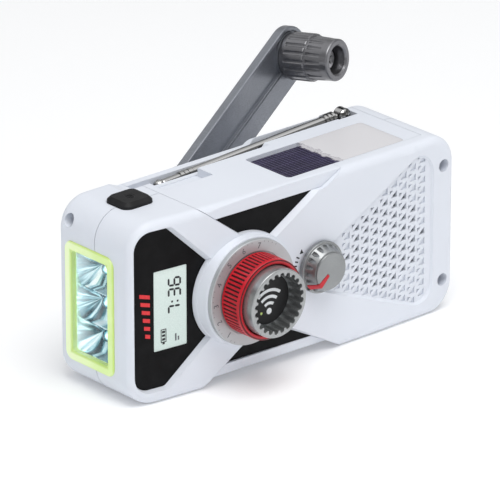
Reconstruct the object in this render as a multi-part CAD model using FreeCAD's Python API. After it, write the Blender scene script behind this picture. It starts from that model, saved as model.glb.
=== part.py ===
import FreeCAD, Part
import math
import os
from FreeCAD import Vector as V

os.makedirs("parts", exist_ok=True)

# Hand-crank emergency radio. Millimetres, +Z up.
# +X (right) is the speaker end, -X (left) the flashlight end, -Y the front with the knobs,
# +Y the back with the crank. Origin: middle of the footprint, on the plane the case stands on.

# ---------------------------------------------------------------- driving dimensions
LENGTH, HEIGHT = 147.0, 68.0
LEFT, RIGHT = -LENGTH / 2, LENGTH / 2
BACK_Y = 21.0                          # back face
PART_Y = 0.5                           # parting plane between front and rear shells
FRONT_END = PART_Y - 0.02              # where the front shell stops
REAR_START = PART_Y + 0.02             # where the rear shell starts
BOW_X, BOW_Y, BOW_K = 36.0, -25.0, 0.000598   # front face: y = BOW_Y + BOW_K (x - BOW_X)^2
WALL, LEFT_WALL, FRONT_WALL = 2.4, 2.6, 4.4
LONG_EDGE_R = 11.0                     # rounding of the four edges that run front to back
BACK_RIM_R, FRONT_RIM_R = 3.6, 3.0
GAP = 0.05                             # between pieces that are not one moulding
SEAM_GAP = 0.14                        # wider gap at the ends of the deck
BELOW, ABOVE = -5, 75                  # z limits of cutters that pass the case

TUNE = (-25.0, 34.0)                   # x, z of the tuning knob axis
COLLAR_FRONT_R, COLLAR_R, COLLAR_Y = 19.95, 20.9, -25.2
DIAL_R, DIAL_Y = 19.4, -27.0
SLEEVE_RO, SLEEVE_RI = 9.4, 8.4
BAND_RO, BAND_RI, BAND_Y = 14.7, 13.0, -36.2
KNOB_R, KNOB_Y = 12.6, -40.6
SHAFT_R, SHAFT_BORE_R = 3.0, 3.02      # shafts of both front knobs, and their bores

VOLUME = (8.0, 34.0)                   # x, z of the volume knob axis
VOLUME_R = 9.6
SPEAKER = (38.0, 34.0)                 # x, z of the speaker axis
SPEAKER_R = 20.0

# x where the flat facets that carry each front feature touch the bow
DISPLAY_FX, MIDDLE_FX, SPEAKER_FX = -57.0, -12.0, 36.0
INLAY_T = 1.0
RECESS = 2.0                           # depth of the black panels below the white face


def centred(a, b, half_a, half_b):
    return (a - half_a, a + half_a, b - half_b, b + half_b)


LCD = (-62.3, -48.5, 18.6, 48.6)                    # x0, x1, z0, z1
SOLAR = (-1.4, 53.8, -18.8, 4.6)                    # x0, x1, y0, y1
BUTTON_X, BUTTON_Y, BUTTON_TOP = -57.0, 1.2, 70.2
BUTTON = centred(BUTTON_X, BUTTON_Y, 6.7, 6.2)      # x0, x1, y0, y1
LIGHT_Y, LIGHT_Z = 3.4, 31.8                        # middle of the flashlight
RING = centred(LIGHT_Y, LIGHT_Z, 13.0, 22.3)        # y0, y1, z0, z1
RING_BAND = 3.3

FRONT_SCREWS = [(67.8, 12.1), (67.8, 56.2)]         # x, z; driven from the front
REAR_SCREWS = [(-64.0, 7.0), (-57.0, 54.0), (-36.0, 7.4), (22.5, 7.4)]

BAY_X0, BAY_X1, BAY_Z0, BAY_Z1 = -60.0, -32.0, 12.0, 25.0      # port bay in the back
JACK, USB, CHARGE = (-55.0, 18.0), (-45.2, 18.0), (-36.6, 18.0)

PIVOT_X, PIVOT_Y, PIVOT_Z = 54.3, 15.1, 67.6        # antenna pivot
ANTENNA_DROP, CHANNEL_DROP = 3.0, 2.5               # degrees, falling towards the tip
CHANNEL_Z = PIVOT_Z - 3.4                           # channel floor at the foot
RUNOUT_R = 2.3                                      # run-out bore in the left end

CRANK = (-7.6, 49.0)                                # x, z of the crank axis
HINGE_Y = 29.1                                      # crank fold pin
ARM_ANGLE, ARM_LEAN = 24.7, 16.0                    # degrees: rise to the right, lean at rest
ARM_LEN, ARM_W, ARM_T = 76.35, 21.4, 3.7
CRANK_KNOB_LEN = 20.5

GEAR_MODULE, PRESSURE_ANGLE = 0.8, 25.0
DRIVE_TEETH, IDLER_PINION_TEETH, IDLER_TEETH, GENERATOR_TEETH = 26, 12, 30, 12
ADDENDUM, DEDENDUM, GEAR_PLAY = 0.8, 1.1, 0.14
CENTRE_EXTRA = 0.10                                 # added to each gear centre distance
IDLER_DIR, GENERATOR_DIR = -60.0, 200.0             # degrees, direction to the next axis


# ---------------------------------------------------------------- helpers
# A centre is (x, z) for shapes along Y, (y, z) along X and (x, y) along Z.
def box(x0, x1, y0, y1, z0, z1):
    return Part.makeBox(x1 - x0, y1 - y0, z1 - z0, V(x0, y0, z0))


def wide_box(y0, y1, z0=BELOW, z1=ABOVE):
    """Box longer than the case."""
    return box(-90, 90, y0, y1, z0, z1)


def cyl_y(centre, y0, y1, r):
    return Part.makeCylinder(r, y1 - y0, V(centre[0], y0, centre[1]), V(0, 1, 0))


def cyl_x(centre, x0, x1, r):
    return Part.makeCylinder(r, x1 - x0, V(x0, *centre), V(1, 0, 0))


def cyl_z(centre, z0, z1, r):
    return Part.makeCylinder(r, z1 - z0, V(*centre, z0), V(0, 0, 1))


def cone_y(centre, y0, y1, r0, r1):
    return Part.makeCone(r0, r1, y1 - y0, V(centre[0], y0, centre[1]), V(0, 1, 0))


def ring_y(centre, y0, y1, outer_r, inner_r):
    return cyl_y(centre, y0, y1, outer_r).cut(cyl_y(centre, y0 - 1, y1 + 1, inner_r))


def polar(centre, r, degrees):
    a = math.radians(degrees)
    return (centre[0] + r * math.cos(a), centre[1] + r * math.sin(a))


def around(centre, r, count, start=0):
    return [polar(centre, r, start + 360 * i / count) for i in range(count)]


def shifted(point, dx, dz):
    return (point[0] + dx, point[1] + dz)


def direction(start, end):
    """Distance and unit direction from start to end."""
    da, db = end[0] - start[0], end[1] - start[1]
    length = math.hypot(da, db)
    return length, (da / length, db / length)


def along(point, unit, distance):
    return (point[0] + unit[0] * distance, point[1] + unit[1] * distance)


def rounded_wire(points, radii, to_3d):
    """Closed wire through 2-D points with rounded corners; to_3d places a point in space."""
    count = len(points)
    corners = []                       # start, end and arc midpoint of each corner
    for i, corner in enumerate(points):
        radius = radii[i] if isinstance(radii, (list, tuple)) else radii
        if radius <= 0:
            corners.append((corner, corner, None))
            continue
        len_in, to_prev = direction(corner, points[i - 1])
        len_out, to_next = direction(corner, points[(i + 1) % count])
        cosine = to_prev[0] * to_next[0] + to_prev[1] * to_next[1]
        half = math.acos(max(-1, min(1, cosine))) / 2
        setback = min(radius / math.tan(half), len_in * 0.49, len_out * 0.49)
        fitted = setback * math.tan(half)
        inward = direction((0, 0), along(to_prev, to_next, 1))[1]
        corners.append((along(corner, to_prev, setback), along(corner, to_next, setback),
                        along(corner, inward, fitted / math.sin(half) - fitted)))
    edges = []
    for i, (start, end, middle) in enumerate(corners):
        if middle is not None:
            edges.append(Part.Arc(to_3d(start), to_3d(middle), to_3d(end)).toShape())
        following = corners[(i + 1) % count][0]
        if math.hypot(following[0] - end[0], following[1] - end[1]) > 1e-6:
            edges.append(Part.makeLine(to_3d(end), to_3d(following)))
    return Part.Wire(edges)


def prism_y(points, y0, y1, radii=0):
    wire = rounded_wire(points, radii, lambda p: V(p[0], y0, p[1]))
    return Part.Face(wire).extrude(V(0, y1 - y0, 0))


def prism_z(points, z0, z1, radii=0):
    wire = rounded_wire(points, radii, lambda p: V(p[0], p[1], z0))
    return Part.Face(wire).extrude(V(0, 0, z1 - z0))


def prism_x(points, x0, x1, radii=0):
    wire = rounded_wire(points, radii, lambda p: V(x0, p[0], p[1]))
    return Part.Face(wire).extrude(V(x1 - x0, 0, 0))


def rect(a0, a1, b0, b1, grow=0):
    a0, a1, b0, b1 = a0 - grow, a1 + grow, b0 - grow, b1 + grow
    return [(a0, b0), (a1, b0), (a1, b1), (a0, b1)]


def fused(first, *others):
    return first.fuse(list(others)).removeSplitter()


def near(a, b):
    return abs(a - b) < 1e-3


def flat_edges(shape, axis, value):
    """Edges that lie in the plane where the axis ("X", "Y" or "Z") has this value."""
    return [e for e in shape.Edges
            if near(getattr(e.BoundBox, axis + "Min"), value)
            and near(getattr(e.BoundBox, axis + "Max"), value)]


def try_fillet(shape, edges, size, chamfer=False):
    """Round or chamfer the edges, smaller if need be; the shape is left sharp if all fail."""
    for r in (size, size * 0.7, size * 0.45):
        # guards against the kernel refusing a radius, which raises an error
        try:
            result = shape.makeChamfer(r, edges) if chamfer else shape.makeFillet(r, edges)
            if (result.isValid() and result.Volume > 0.5 * shape.Volume
                    and len(result.Solids) == len(shape.Solids)):
                return result
        except Exception:
            pass
    return shape


def bow(x):
    return BOW_Y + BOW_K * (x - BOW_X) ** 2


def bow_block(offset, reach, y_far, z_top):
    """Block between the bowed face, moved inwards by offset, and the plane y_far."""
    ends = [V(x, bow(x) + offset, BELOW) for x in (-reach, reach)]
    far = [V(x, y_far, BELOW) for x in (-reach, reach)]
    arc = Part.Arc(ends[0], V(0, bow(0) + offset, BELOW), ends[1]).toShape()
    wire = Part.Wire([arc, Part.makeLine(ends[1], far[1]),
                      Part.makeLine(far[1], far[0]), Part.makeLine(far[0], ends[0])])
    return Part.Face(wire).extrude(V(0, 0, z_top - BELOW))


def behind_bow(offset):
    return bow_block(offset, 80, 40, 80)


def facet(touch_x):
    """Placement of a flat facet touching the bow at touch_x: local x along it, y inwards."""
    angle = math.degrees(math.atan(2 * BOW_K * (touch_x - BOW_X)))
    placement = FreeCAD.Placement(V(touch_x, bow(touch_x), 0),
                                  FreeCAD.Rotation(V(0, 0, 1), angle))
    return placement, math.cos(math.radians(angle))


def on_facet(touch_x, points):
    """Case (x, z) points as local points of the facet."""
    cosine = facet(touch_x)[1]
    return [((x - touch_x) / cosine, z) for x, z in points]


def pocket(touch_x, floor, mouth, y_floor, y_mouth, floor_radii=0, mouth_radii=0):
    """Bevelled pocket cutter between a floor outline and a mouth outline on a facet."""
    floor_wire = rounded_wire(on_facet(touch_x, floor), floor_radii,
                              lambda p: V(p[0], y_floor, p[1]))
    mouth_wire = rounded_wire(on_facet(touch_x, mouth), mouth_radii,
                              lambda p: V(p[0], y_mouth, p[1]))
    cutter = Part.makeLoft([mouth_wire, floor_wire], True, True)
    cutter.Placement = facet(touch_x)[0]
    return cutter


def plate(touch_x, points, y0, y1, radii=0):
    """Flat plate on a facet, from depth y0 to depth y1."""
    slab = prism_y(on_facet(touch_x, points), y0, y1, radii)
    slab.Placement = facet(touch_x)[0]
    return slab


def save(name, shape):
    if shape.ShapeType == "Compound" and len(shape.Solids) == 1:
        shape = shape.Solids[0]
    shape.exportStep("parts/%s.step" % name)


# ---------------------------------------------------------------- case envelope
def case_envelope():
    body = box(LEFT, RIGHT, -30, BACK_Y, 0, HEIGHT)
    body = body.makeFillet(LONG_EDGE_R, [e for e in body.Edges if e.BoundBox.YLength > 40])
    body = try_fillet(body, flat_edges(body, "Y", BACK_Y), BACK_RIM_R)
    body = body.cut(bow_block(0, 90, -60, 85))
    rim = [e for e in body.Edges
           if e.BoundBox.YMax < -15 and e.BoundBox.YLength < 12
           and abs(e.CenterOfMass.y - bow(e.CenterOfMass.x)) < 0.6]
    return try_fillet(body, rim, FRONT_RIM_R)


case = case_envelope()
cavity = prism_y(rect(LEFT + LEFT_WALL, RIGHT - WALL, WALL, HEIGHT - WALL),
                 -30, BACK_Y - WALL, 8.6).common(behind_bow(FRONT_WALL))

# ---------------------------------------------------------------- deck and sill regions
MID_L, MID_R = -44.2, 19.2             # x of the middle's left and right seams
BLACK_TOP, BLACK_LOW = 62.9, 7.3       # z where the black inlays meet deck and sill
SILL_Z = 3.8                           # underside of the raised middle
DECK_R = 61.5                          # right end of the deck behind the front face
DECK_FRONT_Y, DECK_BACK_Y = -19.0, 8.6
DECK_Z, DECK_BACK_Z = 64.6, 57.8       # underside of the deck, and of its back part


def mirrored(point):
    return (point[0], HEIGHT - point[1])


def on_seam(seam, z):
    (x0, z0), (x1, z1) = seam
    return (x0 + (x1 - x0) * (z - z0) / (z1 - z0), z)


# slanting seams in the front face, as pairs of (x, z)
TOP_LEFT_SEAM = ((MID_L, 68.0), (-29.0, 56.5))
TOP_RIGHT_SEAM = ((-13.0, 50.8), (MID_R, 67.7))
LOW_LEFT_SEAM = (mirrored(TOP_LEFT_SEAM[0]), (-27.6, 11.5))
LOW_RIGHT_SEAM = tuple(mirrored(p) for p in TOP_RIGHT_SEAM)
TOP_L, TOP_R = on_seam(TOP_LEFT_SEAM, BLACK_TOP), on_seam(TOP_RIGHT_SEAM, BLACK_TOP)
LOW_L, LOW_R = on_seam(LOW_LEFT_SEAM, BLACK_LOW), on_seam(LOW_RIGHT_SEAM, BLACK_LOW)

# deck: the top of the middle, with the antenna channel in its back
deck_region = fused(
    prism_y([TOP_LEFT_SEAM[0], TOP_L, TOP_R, TOP_RIGHT_SEAM[1], (MID_R, ABOVE), (MID_L, ABOVE)],
            -30, DECK_FRONT_Y),
    box(MID_L, DECK_R, DECK_FRONT_Y, BACK_Y + 1, DECK_Z, ABOVE),
    box(MID_L, DECK_R, DECK_BACK_Y, BACK_Y + 1, DECK_BACK_Z, ABOVE))
GAP_L, GAP_R = MID_L - SEAM_GAP, DECK_R + SEAM_GAP
deck_gap = fused(
    prism_y([(GAP_L, ABOVE), (MID_R + GAP, ABOVE), shifted(TOP_RIGHT_SEAM[1], GAP, -GAP),
             shifted(TOP_R, GAP, -GAP), shifted(TOP_L, -SEAM_GAP, -GAP),
             shifted(TOP_LEFT_SEAM[0], -SEAM_GAP, -GAP)], -31, DECK_FRONT_Y + GAP),
    box(GAP_L, GAP_R, DECK_FRONT_Y - GAP, BACK_Y + 2, DECK_Z - GAP, ABOVE),
    box(GAP_L, GAP_R, DECK_BACK_Y - GAP, BACK_Y + 2, DECK_BACK_Z - GAP, ABOVE))

# sill: the bottom of the middle
sill_region = prism_y([(MID_L, BELOW), LOW_LEFT_SEAM[0], LOW_L, LOW_R, LOW_RIGHT_SEAM[1],
                       (MID_R, BELOW)], -30, FRONT_END)
SILL_GAP_POINTS = [(MID_L - GAP, BELOW), shifted(LOW_LEFT_SEAM[0], -GAP, 0),
                   shifted(LOW_L, -GAP, GAP), shifted(LOW_R, GAP, GAP),
                   shifted(LOW_RIGHT_SEAM[1], GAP, 0), (MID_R + GAP, BELOW)]
sill_gap = fused(prism_y(SILL_GAP_POINTS, -30, -15.9),
                 prism_y(SILL_GAP_POINTS, -16.0, PART_Y + 1).common(wide_box(-30, 5, -6, 5.6)))

# the fronts of deck and sill share a plane: flush with the bow at the left seam,
# about 1.7 mm behind it at the right seam
PLANE_L, PLANE_R = (-44.3, bow(-44.3) + 0.02), (19.4, -23.15)
PLANE_SLOPE = (PLANE_R[1] - PLANE_L[1]) / (PLANE_R[0] - PLANE_L[0])


def plane_y(x):
    return PLANE_R[1] + PLANE_SLOPE * (x - PLANE_R[0])


ahead_of_plane = prism_z([(-60, -45), (40, -45), (40, plane_y(40)), (-60, plane_y(-60))],
                         -5, 80).common(box(-60, 19.3, -60, -15, -5, 80))

# shallow groove round the case where the two shells meet
parting_groove = wide_box(PART_Y - 0.12, PART_Y + 0.12).cut(
    prism_y(rect(LEFT, RIGHT, 0, HEIGHT, grow=-0.8), PART_Y - 1, PART_Y + 1, 10.2))

# ---------------------------------------------------------------- front outlines, (x, z)
DISPLAY_FLOOR = [(-71.2, 64.7), (-57.4, 64.3), (-40.1, 47.6),
                 (-40.1, 20.4), (-58.1, 5.1), (-71.2, 5.2)]
DISPLAY_MOUTH = [(-71.7, 65.1), (-55.9, 65.0), (-35.1, 45.4),
                 (-35.4, 22.6), (-57.0, 4.4), (-71.7, 4.7)]
DISPLAY_CLIP = [(-71.14, 64.64), (-57.4, 64.24), (-40.16, 47.57),
                (-40.16, 20.43), (-58.1, 5.16), (-71.14, 5.26)]
DISPLAY_RADII = [6.5, 2.5, 3, 3, 2.5, 6.5]
UPPER_FLOOR = [(-45.9, 69.3), (-26.3, 54.46), (-16.0, 48.9), (15.7, 69.35)]
UPPER_MOUTH = [(-46.4, 69.3), (-26.8, 54.2), (-13.6, 47.5), (20.3, 69.35)]
LOWER_FLOOR = [(22.3, -1.35), (-14.6, 18.0), (-24.7, 13.54), (-46.08, -1.3)]
LOWER_MOUTH = [(21.3, -1.35), (-14.0, 20.5), (-25.2, 13.8), (-46.6, -1.3)]
UPPER_SEAT = [TOP_L, UPPER_FLOOR[1], UPPER_FLOOR[2], (5.7, BLACK_TOP)]
LOWER_SEAT = [LOW_R, LOWER_FLOOR[1], LOWER_FLOOR[2], LOW_L]
SPEAKER_MOUTH = [(9.5, 39.3), (56.6, 64.8), (63.4, 59.5), (63.4, 8.5), (56.6, 4.3), (9.5, 23.1)]
SPEAKER_FLOOR = [(10.9, 38.7), (56.2, 63.2), (62.2, 58.4),
                 (62.2, 9.6), (56.2, 5.8), (10.9, 23.9)]
SPEAKER_OPENING = [(13.5, 37.6), (54.8, 60.4), (60.2, 56), (60.2, 12), (54.8, 8.4), (13.5, 25.4)]
SPEAKER_RADII = [2, 9, 9, 9, 9, 2]


def collar_disc(gap=0):
    """Cylinder that keeps pockets and inlays off the collar."""
    return cyl_y(TUNE, -40, 0, COLLAR_R + gap)


upper_pocket = pocket(MIDDLE_FX, UPPER_FLOOR, UPPER_MOUTH, RECESS, -1.2).cut(collar_disc())

# cutters that both shells share
light_seat = prism_x(rect(*RING, grow=GAP), -80, -71.4, 3.6)
light_bore = prism_x(rect(*RING, grow=-2.0), -80, -60, 2.5)
button_hole = prism_z(rect(*BUTTON, grow=0.12), 60, 75, 3.2)

# ---------------------------------------------------------------- speaker grille
GRILLE_PITCH_X, GRILLE_PITCH_Z = 4.53, 3.95
GRILLE_START_X, GRILLE_START_Z = -23.73, 2.0       # x is measured from the facet's touch point
THROUGH_R = 18.3                                   # cells within this radius go right through
GRILLE_OUTLINE = [(x - SPEAKER_FX, z) for x, z in SPEAKER_FLOOR]
CELL_TRIANGLES = [[(1.75, 1.25), (1.75, -1.35), (-1.1, -1.35)],
                  [(-1.75, 1.45), (-0.15, 1.45), (-1.75, 0.0)]]


def inside(point, outline, margin):
    """True if the point is at least margin inside the convex, clockwise outline."""
    for start, end in zip(outline, outline[1:] + outline[:1]):
        ux, uz = direction(start, end)[1]
        if uz * (point[0] - start[0]) - ux * (point[1] - start[1]) < margin:
            return False
    return True


def grille_cells():
    """Centres of the blind cells and of the through cells."""
    blind, through = [], []
    column = 0
    x = GRILLE_START_X
    while x < 28:
        z = GRILLE_START_Z + (GRILLE_PITCH_Z / 2 if column % 2 else 0)
        while z < HEIGHT:
            from_volume = math.hypot(x + SPEAKER_FX - VOLUME[0], z - VOLUME[1])
            if inside((x, z), GRILLE_OUTLINE, 0.3) and from_volume > VOLUME_R + 1.6:
                from_speaker = math.hypot(x + SPEAKER_FX - SPEAKER[0] - 1.6, z - SPEAKER[1])
                (through if from_speaker < THROUGH_R else blind).append((x, z))
            z += GRILLE_PITCH_Z
        x += GRILLE_PITCH_X
        column += 1
    return blind, through


def grille_hole(cell, triangle, y0, y1):
    points = [V(cell[0] + x, y0, cell[1] + z) for x, z in triangle]
    hole = Part.Face(Part.makePolygon(points + points[:1])).extrude(V(0, y1 - y0, 0))
    hole.Placement = facet(SPEAKER_FX)[0]
    return hole


def grille_holes():
    blind, through = grille_cells()
    clip = plate(SPEAKER_FX, SPEAKER_FLOOR, 0.5, 5.0, SPEAKER_RADII)
    holes = []
    for cell in blind:
        for triangle in CELL_TRIANGLES:
            hole = grille_hole(cell, triangle, 0.9, 1.9)
            if not inside(cell, GRILLE_OUTLINE, 2.2):
                hole = hole.common(clip)
            if hole.Volume > 0.25:
                holes.append(hole)
    return holes + [grille_hole(cell, t, 0.9, 4.5) for cell in through for t in CELL_TRIANGLES]


# ---------------------------------------------------------------- front shell
def front_additions():
    """Collar round the tuning knob, a pad behind it, and ribs behind the sill's seams."""
    collar = cone_y(TUNE, COLLAR_Y, -20.6, COLLAR_FRONT_R, COLLAR_R)
    collar = try_fillet(collar, flat_edges(collar, "Y", COLLAR_Y), 0.4)
    pad = cyl_y(TUNE, -20.7, -17.6, COLLAR_R)
    rib_outlines = [
        [(-44.25, 0), (-35.6, 6.0), (-36.8, 7.6), (-47.5, 2.0), (-47.5, 0)],
        [(19.3, 0), (19.2, 0.3), (8.33, 6.0), (9.26, 7.77), (22.5, 2.3), (22.5, 0)]]
    ribs = [prism_y(points, -24.0, FRONT_END).common(case).common(behind_bow(3.0))
            for points in rib_outlines]
    return [collar, pad] + ribs


def front_shell():
    shell = case.common(wide_box(-60, FRONT_END))
    shell = shell.cut(cavity)
    shell = shell.fuse(front_additions())
    # bevelled pockets
    display_pocket = pocket(DISPLAY_FX, DISPLAY_FLOOR, DISPLAY_MOUTH, RECESS, -0.6,
                            DISPLAY_RADII, [7.0, 3, 3, 3, 3, 7.0])
    display_pocket = display_pocket.cut(cone_y(TUNE, -27.0, -18.0, 19.64, 21.7))
    lower_pocket = pocket(MIDDLE_FX, LOWER_FLOOR, LOWER_MOUTH, RECESS, -1.2).cut(collar_disc())
    speaker_recess = pocket(SPEAKER_FX, SPEAKER_FLOOR, SPEAKER_MOUTH, 1.25, -0.35,
                            SPEAKER_RADII, SPEAKER_RADII)
    shell = shell.cut([display_pocket, upper_pocket, lower_pocket, speaker_recess])
    # seats of the black panels, and the openings behind speaker and display
    seat_y = (RECESS - 0.3, RECESS + INLAY_T)
    shell = shell.cut([
        plate(DISPLAY_FX, DISPLAY_FLOOR, *seat_y, DISPLAY_RADII).cut(collar_disc(0.1)),
        plate(MIDDLE_FX, UPPER_SEAT, *seat_y).cut(collar_disc(0.02)),
        plate(MIDDLE_FX, LOWER_SEAT, *seat_y).cut(collar_disc(0.02)),
        plate(SPEAKER_FX, SPEAKER_OPENING, 2.5, 8, 5),
        plate(DISPLAY_FX, rect(*LCD, grow=0.6), 1.0, 9)])
    shell = shell.cut([deck_gap, sill_gap, light_seat, light_bore, button_hole])
    shell = shell.cut([cyl_y(TUNE, -40, -10, SLEEVE_RO + 0.08), cyl_y(VOLUME, -40, -10, 3.6)])
    # wells of the front screws in the right margin
    for at in FRONT_SCREWS:
        well = cyl_y(at, -21.5, FRONT_END, 3.6).common(case).cut(cyl_y(at, -30, 10, 1.7))
        shell = shell.fuse(well)
        shell = shell.cut([cyl_y(at, -40, -17.5, 2.35), cyl_y(at, -40, 10, 1.7)])
    shell = shell.cut(grille_holes())
    # bosses that take the rear screws
    for at in REAR_SCREWS:
        shell = shell.fuse(cyl_y(at, bow(at[0]) + 3.8, FRONT_END, 3.0).common(case))
        shell = shell.cut(cyl_y(at, -9.0, 10, 1.15))
    return shell.cut([light_seat, parting_groove, sill_gap])


save("front_shell", front_shell())

# ---------------------------------------------------------------- antenna axis and channel
ANTENNA_DIR = V(-math.cos(math.radians(ANTENNA_DROP)), 0, -math.sin(math.radians(ANTENNA_DROP)))
PIVOT = V(PIVOT_X, PIVOT_Y, PIVOT_Z)


def rod(s0, s1, r):
    """Cylinder on the antenna's axis between two distances from the pivot."""
    return Part.makeCylinder(r, s1 - s0, PIVOT + ANTENNA_DIR * s0, ANTENNA_DIR)


CHANNEL_L, CHANNEL_FOOT_X, CHANNEL_R = -44.25, PIVOT_X - 4.8, PIVOT_X + 4.6
CHANNEL_FALL = (CHANNEL_FOOT_X - CHANNEL_L) * math.tan(math.radians(CHANNEL_DROP))
channel = prism_y([(CHANNEL_R, ABOVE), (CHANNEL_R, CHANNEL_Z), (CHANNEL_FOOT_X, CHANNEL_Z),
                   (CHANNEL_L, CHANNEL_Z - CHANNEL_FALL), (CHANNEL_L, ABOVE)],
                  PIVOT_Y - 2.95, PIVOT_Y + 2.95)
# relief above the channel that runs on into the left end
relief = prism_y([(-53.0, 75), (-53.0, 68.2), (-46.2, 65.2), (12.0, 65.2), (15.2, 68.5),
                  (15.2, 75)], 9.4, BACK_Y + 2)

# ---------------------------------------------------------------- rear shell
WELL_DIR = -20                         # degrees, from the crank axis to the round well
WELL = polar(CRANK, ARM_LEN, WELL_DIR)
NOTCH = polar(CRANK, ARM_LEN + 2.4, WELL_DIR)      # shallower round notch further out
WELL_R, NOTCH_R = 9.3, 9.2
WELL_FLOOR_Y = HINGE_Y - ARM_T / 2 - CRANK_KNOB_LEN - 0.1 - 1.0


def rear_additions():
    """Crank plateau, walls of well and notch, block round the run-out bore, screw bosses."""
    wall_end = BACK_Y - 1.0
    return [cone_y(CRANK, 18.0, 23.0, 17.2, 15.0),
            cyl_y(WELL, REAR_START, wall_end, WELL_R + 1.2).common(case),
            cyl_y(NOTCH, 9.8, wall_end, NOTCH_R + 1.2).common(case),
            box(-71.5, -44.3, 8.2, 19.5, 56.0, 66).common(case),
            ] + [cyl_y(at, REAR_START, wall_end, 2.7) for at in FRONT_SCREWS]


def rear_cuts():
    runout_start, runout_end = 96, 138
    runout_bore = rod(runout_start, runout_end, RUNOUT_R)
    # turned about its own axis, which moves its seam edge
    runout_bore.rotate(PIVOT + ANTENNA_DIR * runout_start, ANTENNA_DIR, 57)
    # the middle of the underside is raised, so the case stands on its ends
    underside = prism_y([(MID_L, BELOW), (MID_L, 0), (MID_L + 5, SILL_Z), (MID_R - 5, SILL_Z),
                         (MID_R, 0), (MID_R, BELOW)], -1, 40)
    return [cyl_y(WELL, WELL_FLOOR_Y, 40, WELL_R), cyl_y(NOTCH, 11.0, 40, NOTCH_R),
            deck_gap, light_seat, light_bore, button_hole,
            ] + [cyl_y(at, PART_Y - 1, 10.2, 1.25) for at in FRONT_SCREWS] + [
            underside, cyl_y(CRANK, 10, 30, 5.0), channel, runout_bore]


def rear_shell():
    shell = case.common(wide_box(REAR_START, 60))
    shell = shell.cut(cavity)
    shell = shell.fuse(rear_additions())
    shell = shell.cut(rear_cuts())
    # floor over the raised underside
    floor = prism_y([(-48, 2.4), (MID_L, 0), (MID_L + 5, SILL_Z), (MID_R - 5, SILL_Z),
                     (MID_R, 0), (23, 2.4), (15.5, 6.2), (-40.5, 6.2)], REAR_START, 19.5)
    shell = shell.fuse(floor.common(case))
    shell = shell.cut(relief)
    # port bay at the back, near the flashlight end
    shell = shell.cut(box(BAY_X0 - 0.1, BAY_X1 + 0.1, BACK_Y - 1.4, BACK_Y + 1,
                          BAY_Z0 - 0.1, BAY_Z1 + 0.1))
    shell = shell.fuse(box(BAY_X0 - 1.5, BAY_X1 + 1.5, BACK_Y - 3.4, BACK_Y - 1.4,
                           BAY_Z0 - 1.5, BAY_Z1 + 1.5))
    shell = shell.cut([cyl_y(JACK, 5, 30, 3.15),
                       box(USB[0] - 5.9, USB[0] + 3.9, 5, 30, USB[1] - 2.9, USB[1] + 2.9),
                       box(CHARGE[0] - 3.85, CHARGE[0] + 3.85, 5, 30,
                           CHARGE[1] - 1.65, CHARGE[1] + 1.65)])
    for at in REAR_SCREWS:
        shell = shell.fuse(cyl_y(at, REAR_START, BACK_Y - 1.2, 3.3).common(case))
        shell = shell.cut([cyl_y(at, 12.0, 40, 2.6), cyl_y(at, -2, 30, 1.5)])
    return shell.cut(parting_groove)


save("rear_shell", rear_shell())


# ---------------------------------------------------------------- deck and sill
def top_deck():
    deck = case.common(deck_region)
    hollow = prism_y(rect(LEFT + LEFT_WALL, RIGHT - WALL, WALL, 65.2), -30, DECK_BACK_Y - 0.01)
    deck = deck.cut(hollow.common(behind_bow(3.2)))
    deck = deck.cut([ahead_of_plane, channel, relief])
    # hollow under the channel
    deck = deck.cut(prism_y([(-45.2, 50), (62.5, 50), (62.5, 60.4), (46.0, 60.4), (46.0, 62.6),
                             (-45.2, 58.85)], 8.5, BACK_Y - WALL))
    deck = deck.cut(upper_pocket.common(wide_box(-60, 0, BELOW, BLACK_TOP - 0.01)))
    # finger scoop near the antenna tip, with a thicker floor under it
    scoop = prism_x([(1.4, 64.9), (10.0, 64.9), (10.0, 75), (0.6, 75)], -41.0, -19.0)
    deck = deck.fuse(box(-42.6, -17.4, 0, 9.0, 63.2, 66)).cut(scoop)
    # solar window seat
    x0, x1, y0, y1 = SOLAR
    deck = deck.fuse(box(x0 - 2, x1 + 2, y0 + 0.2, y1 + 2, DECK_Z, 66.5))
    deck = deck.cut(prism_z(rect(*SOLAR), HEIGHT - 2.0, 75, 1.6))
    # antenna bracket seat
    return deck.cut(box(PIVOT_X - 4.4, PIVOT_X + 4.6, PIVOT_Y - 3.6, PIVOT_Y + 3.6, 62.1, 75))


def bottom_sill():
    sill = case.common(sill_region)
    sill = sill.cut(wide_box(-60, 5, BELOW, SILL_Z))
    sill = sill.cut(ahead_of_plane)
    sill = sill.cut(cavity.common(wide_box(-60, 5, 5.6, 60)))
    return sill.cut(box(-60, 40, -16.0, 5, 5.4, 20))


save("top_deck", top_deck())
save("bottom_sill", bottom_sill())

# ---------------------------------------------------------------- black panels, display
PANEL_Y = (RECESS + 0.02, RECESS + INLAY_T - 0.03)          # depth of panel front and back
# play between each inlay and its seat, per corner of the seat
UPPER_PLAY = [(0.10, -0.05), (0.05, 0.05), (-0.02, 0.06), (-0.14, -0.05)]
LOWER_PLAY = [(dx, -dz) for dx, dz in reversed(UPPER_PLAY)]


def display_panel():
    panel = plate(DISPLAY_FX, DISPLAY_FLOOR, *PANEL_Y, [r - 0.02 for r in DISPLAY_RADII])
    panel = panel.common(plate(DISPLAY_FX, DISPLAY_CLIP, RECESS, RECESS + INLAY_T,
                               DISPLAY_RADII))
    panel = panel.cut(collar_disc(0.16))
    return panel.cut(plate(DISPLAY_FX, rect(*LCD), 0, 9, 0.4))


def lcd_module():
    window = plate(DISPLAY_FX, rect(*LCD, grow=-GAP), RECESS + 0.3, RECESS + 2.6, 0.5)
    back = plate(DISPLAY_FX, rect(*LCD, grow=0.5 - GAP), RECESS + INLAY_T + 0.02, RECESS + 3.4)
    return fused(window, back)


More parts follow.
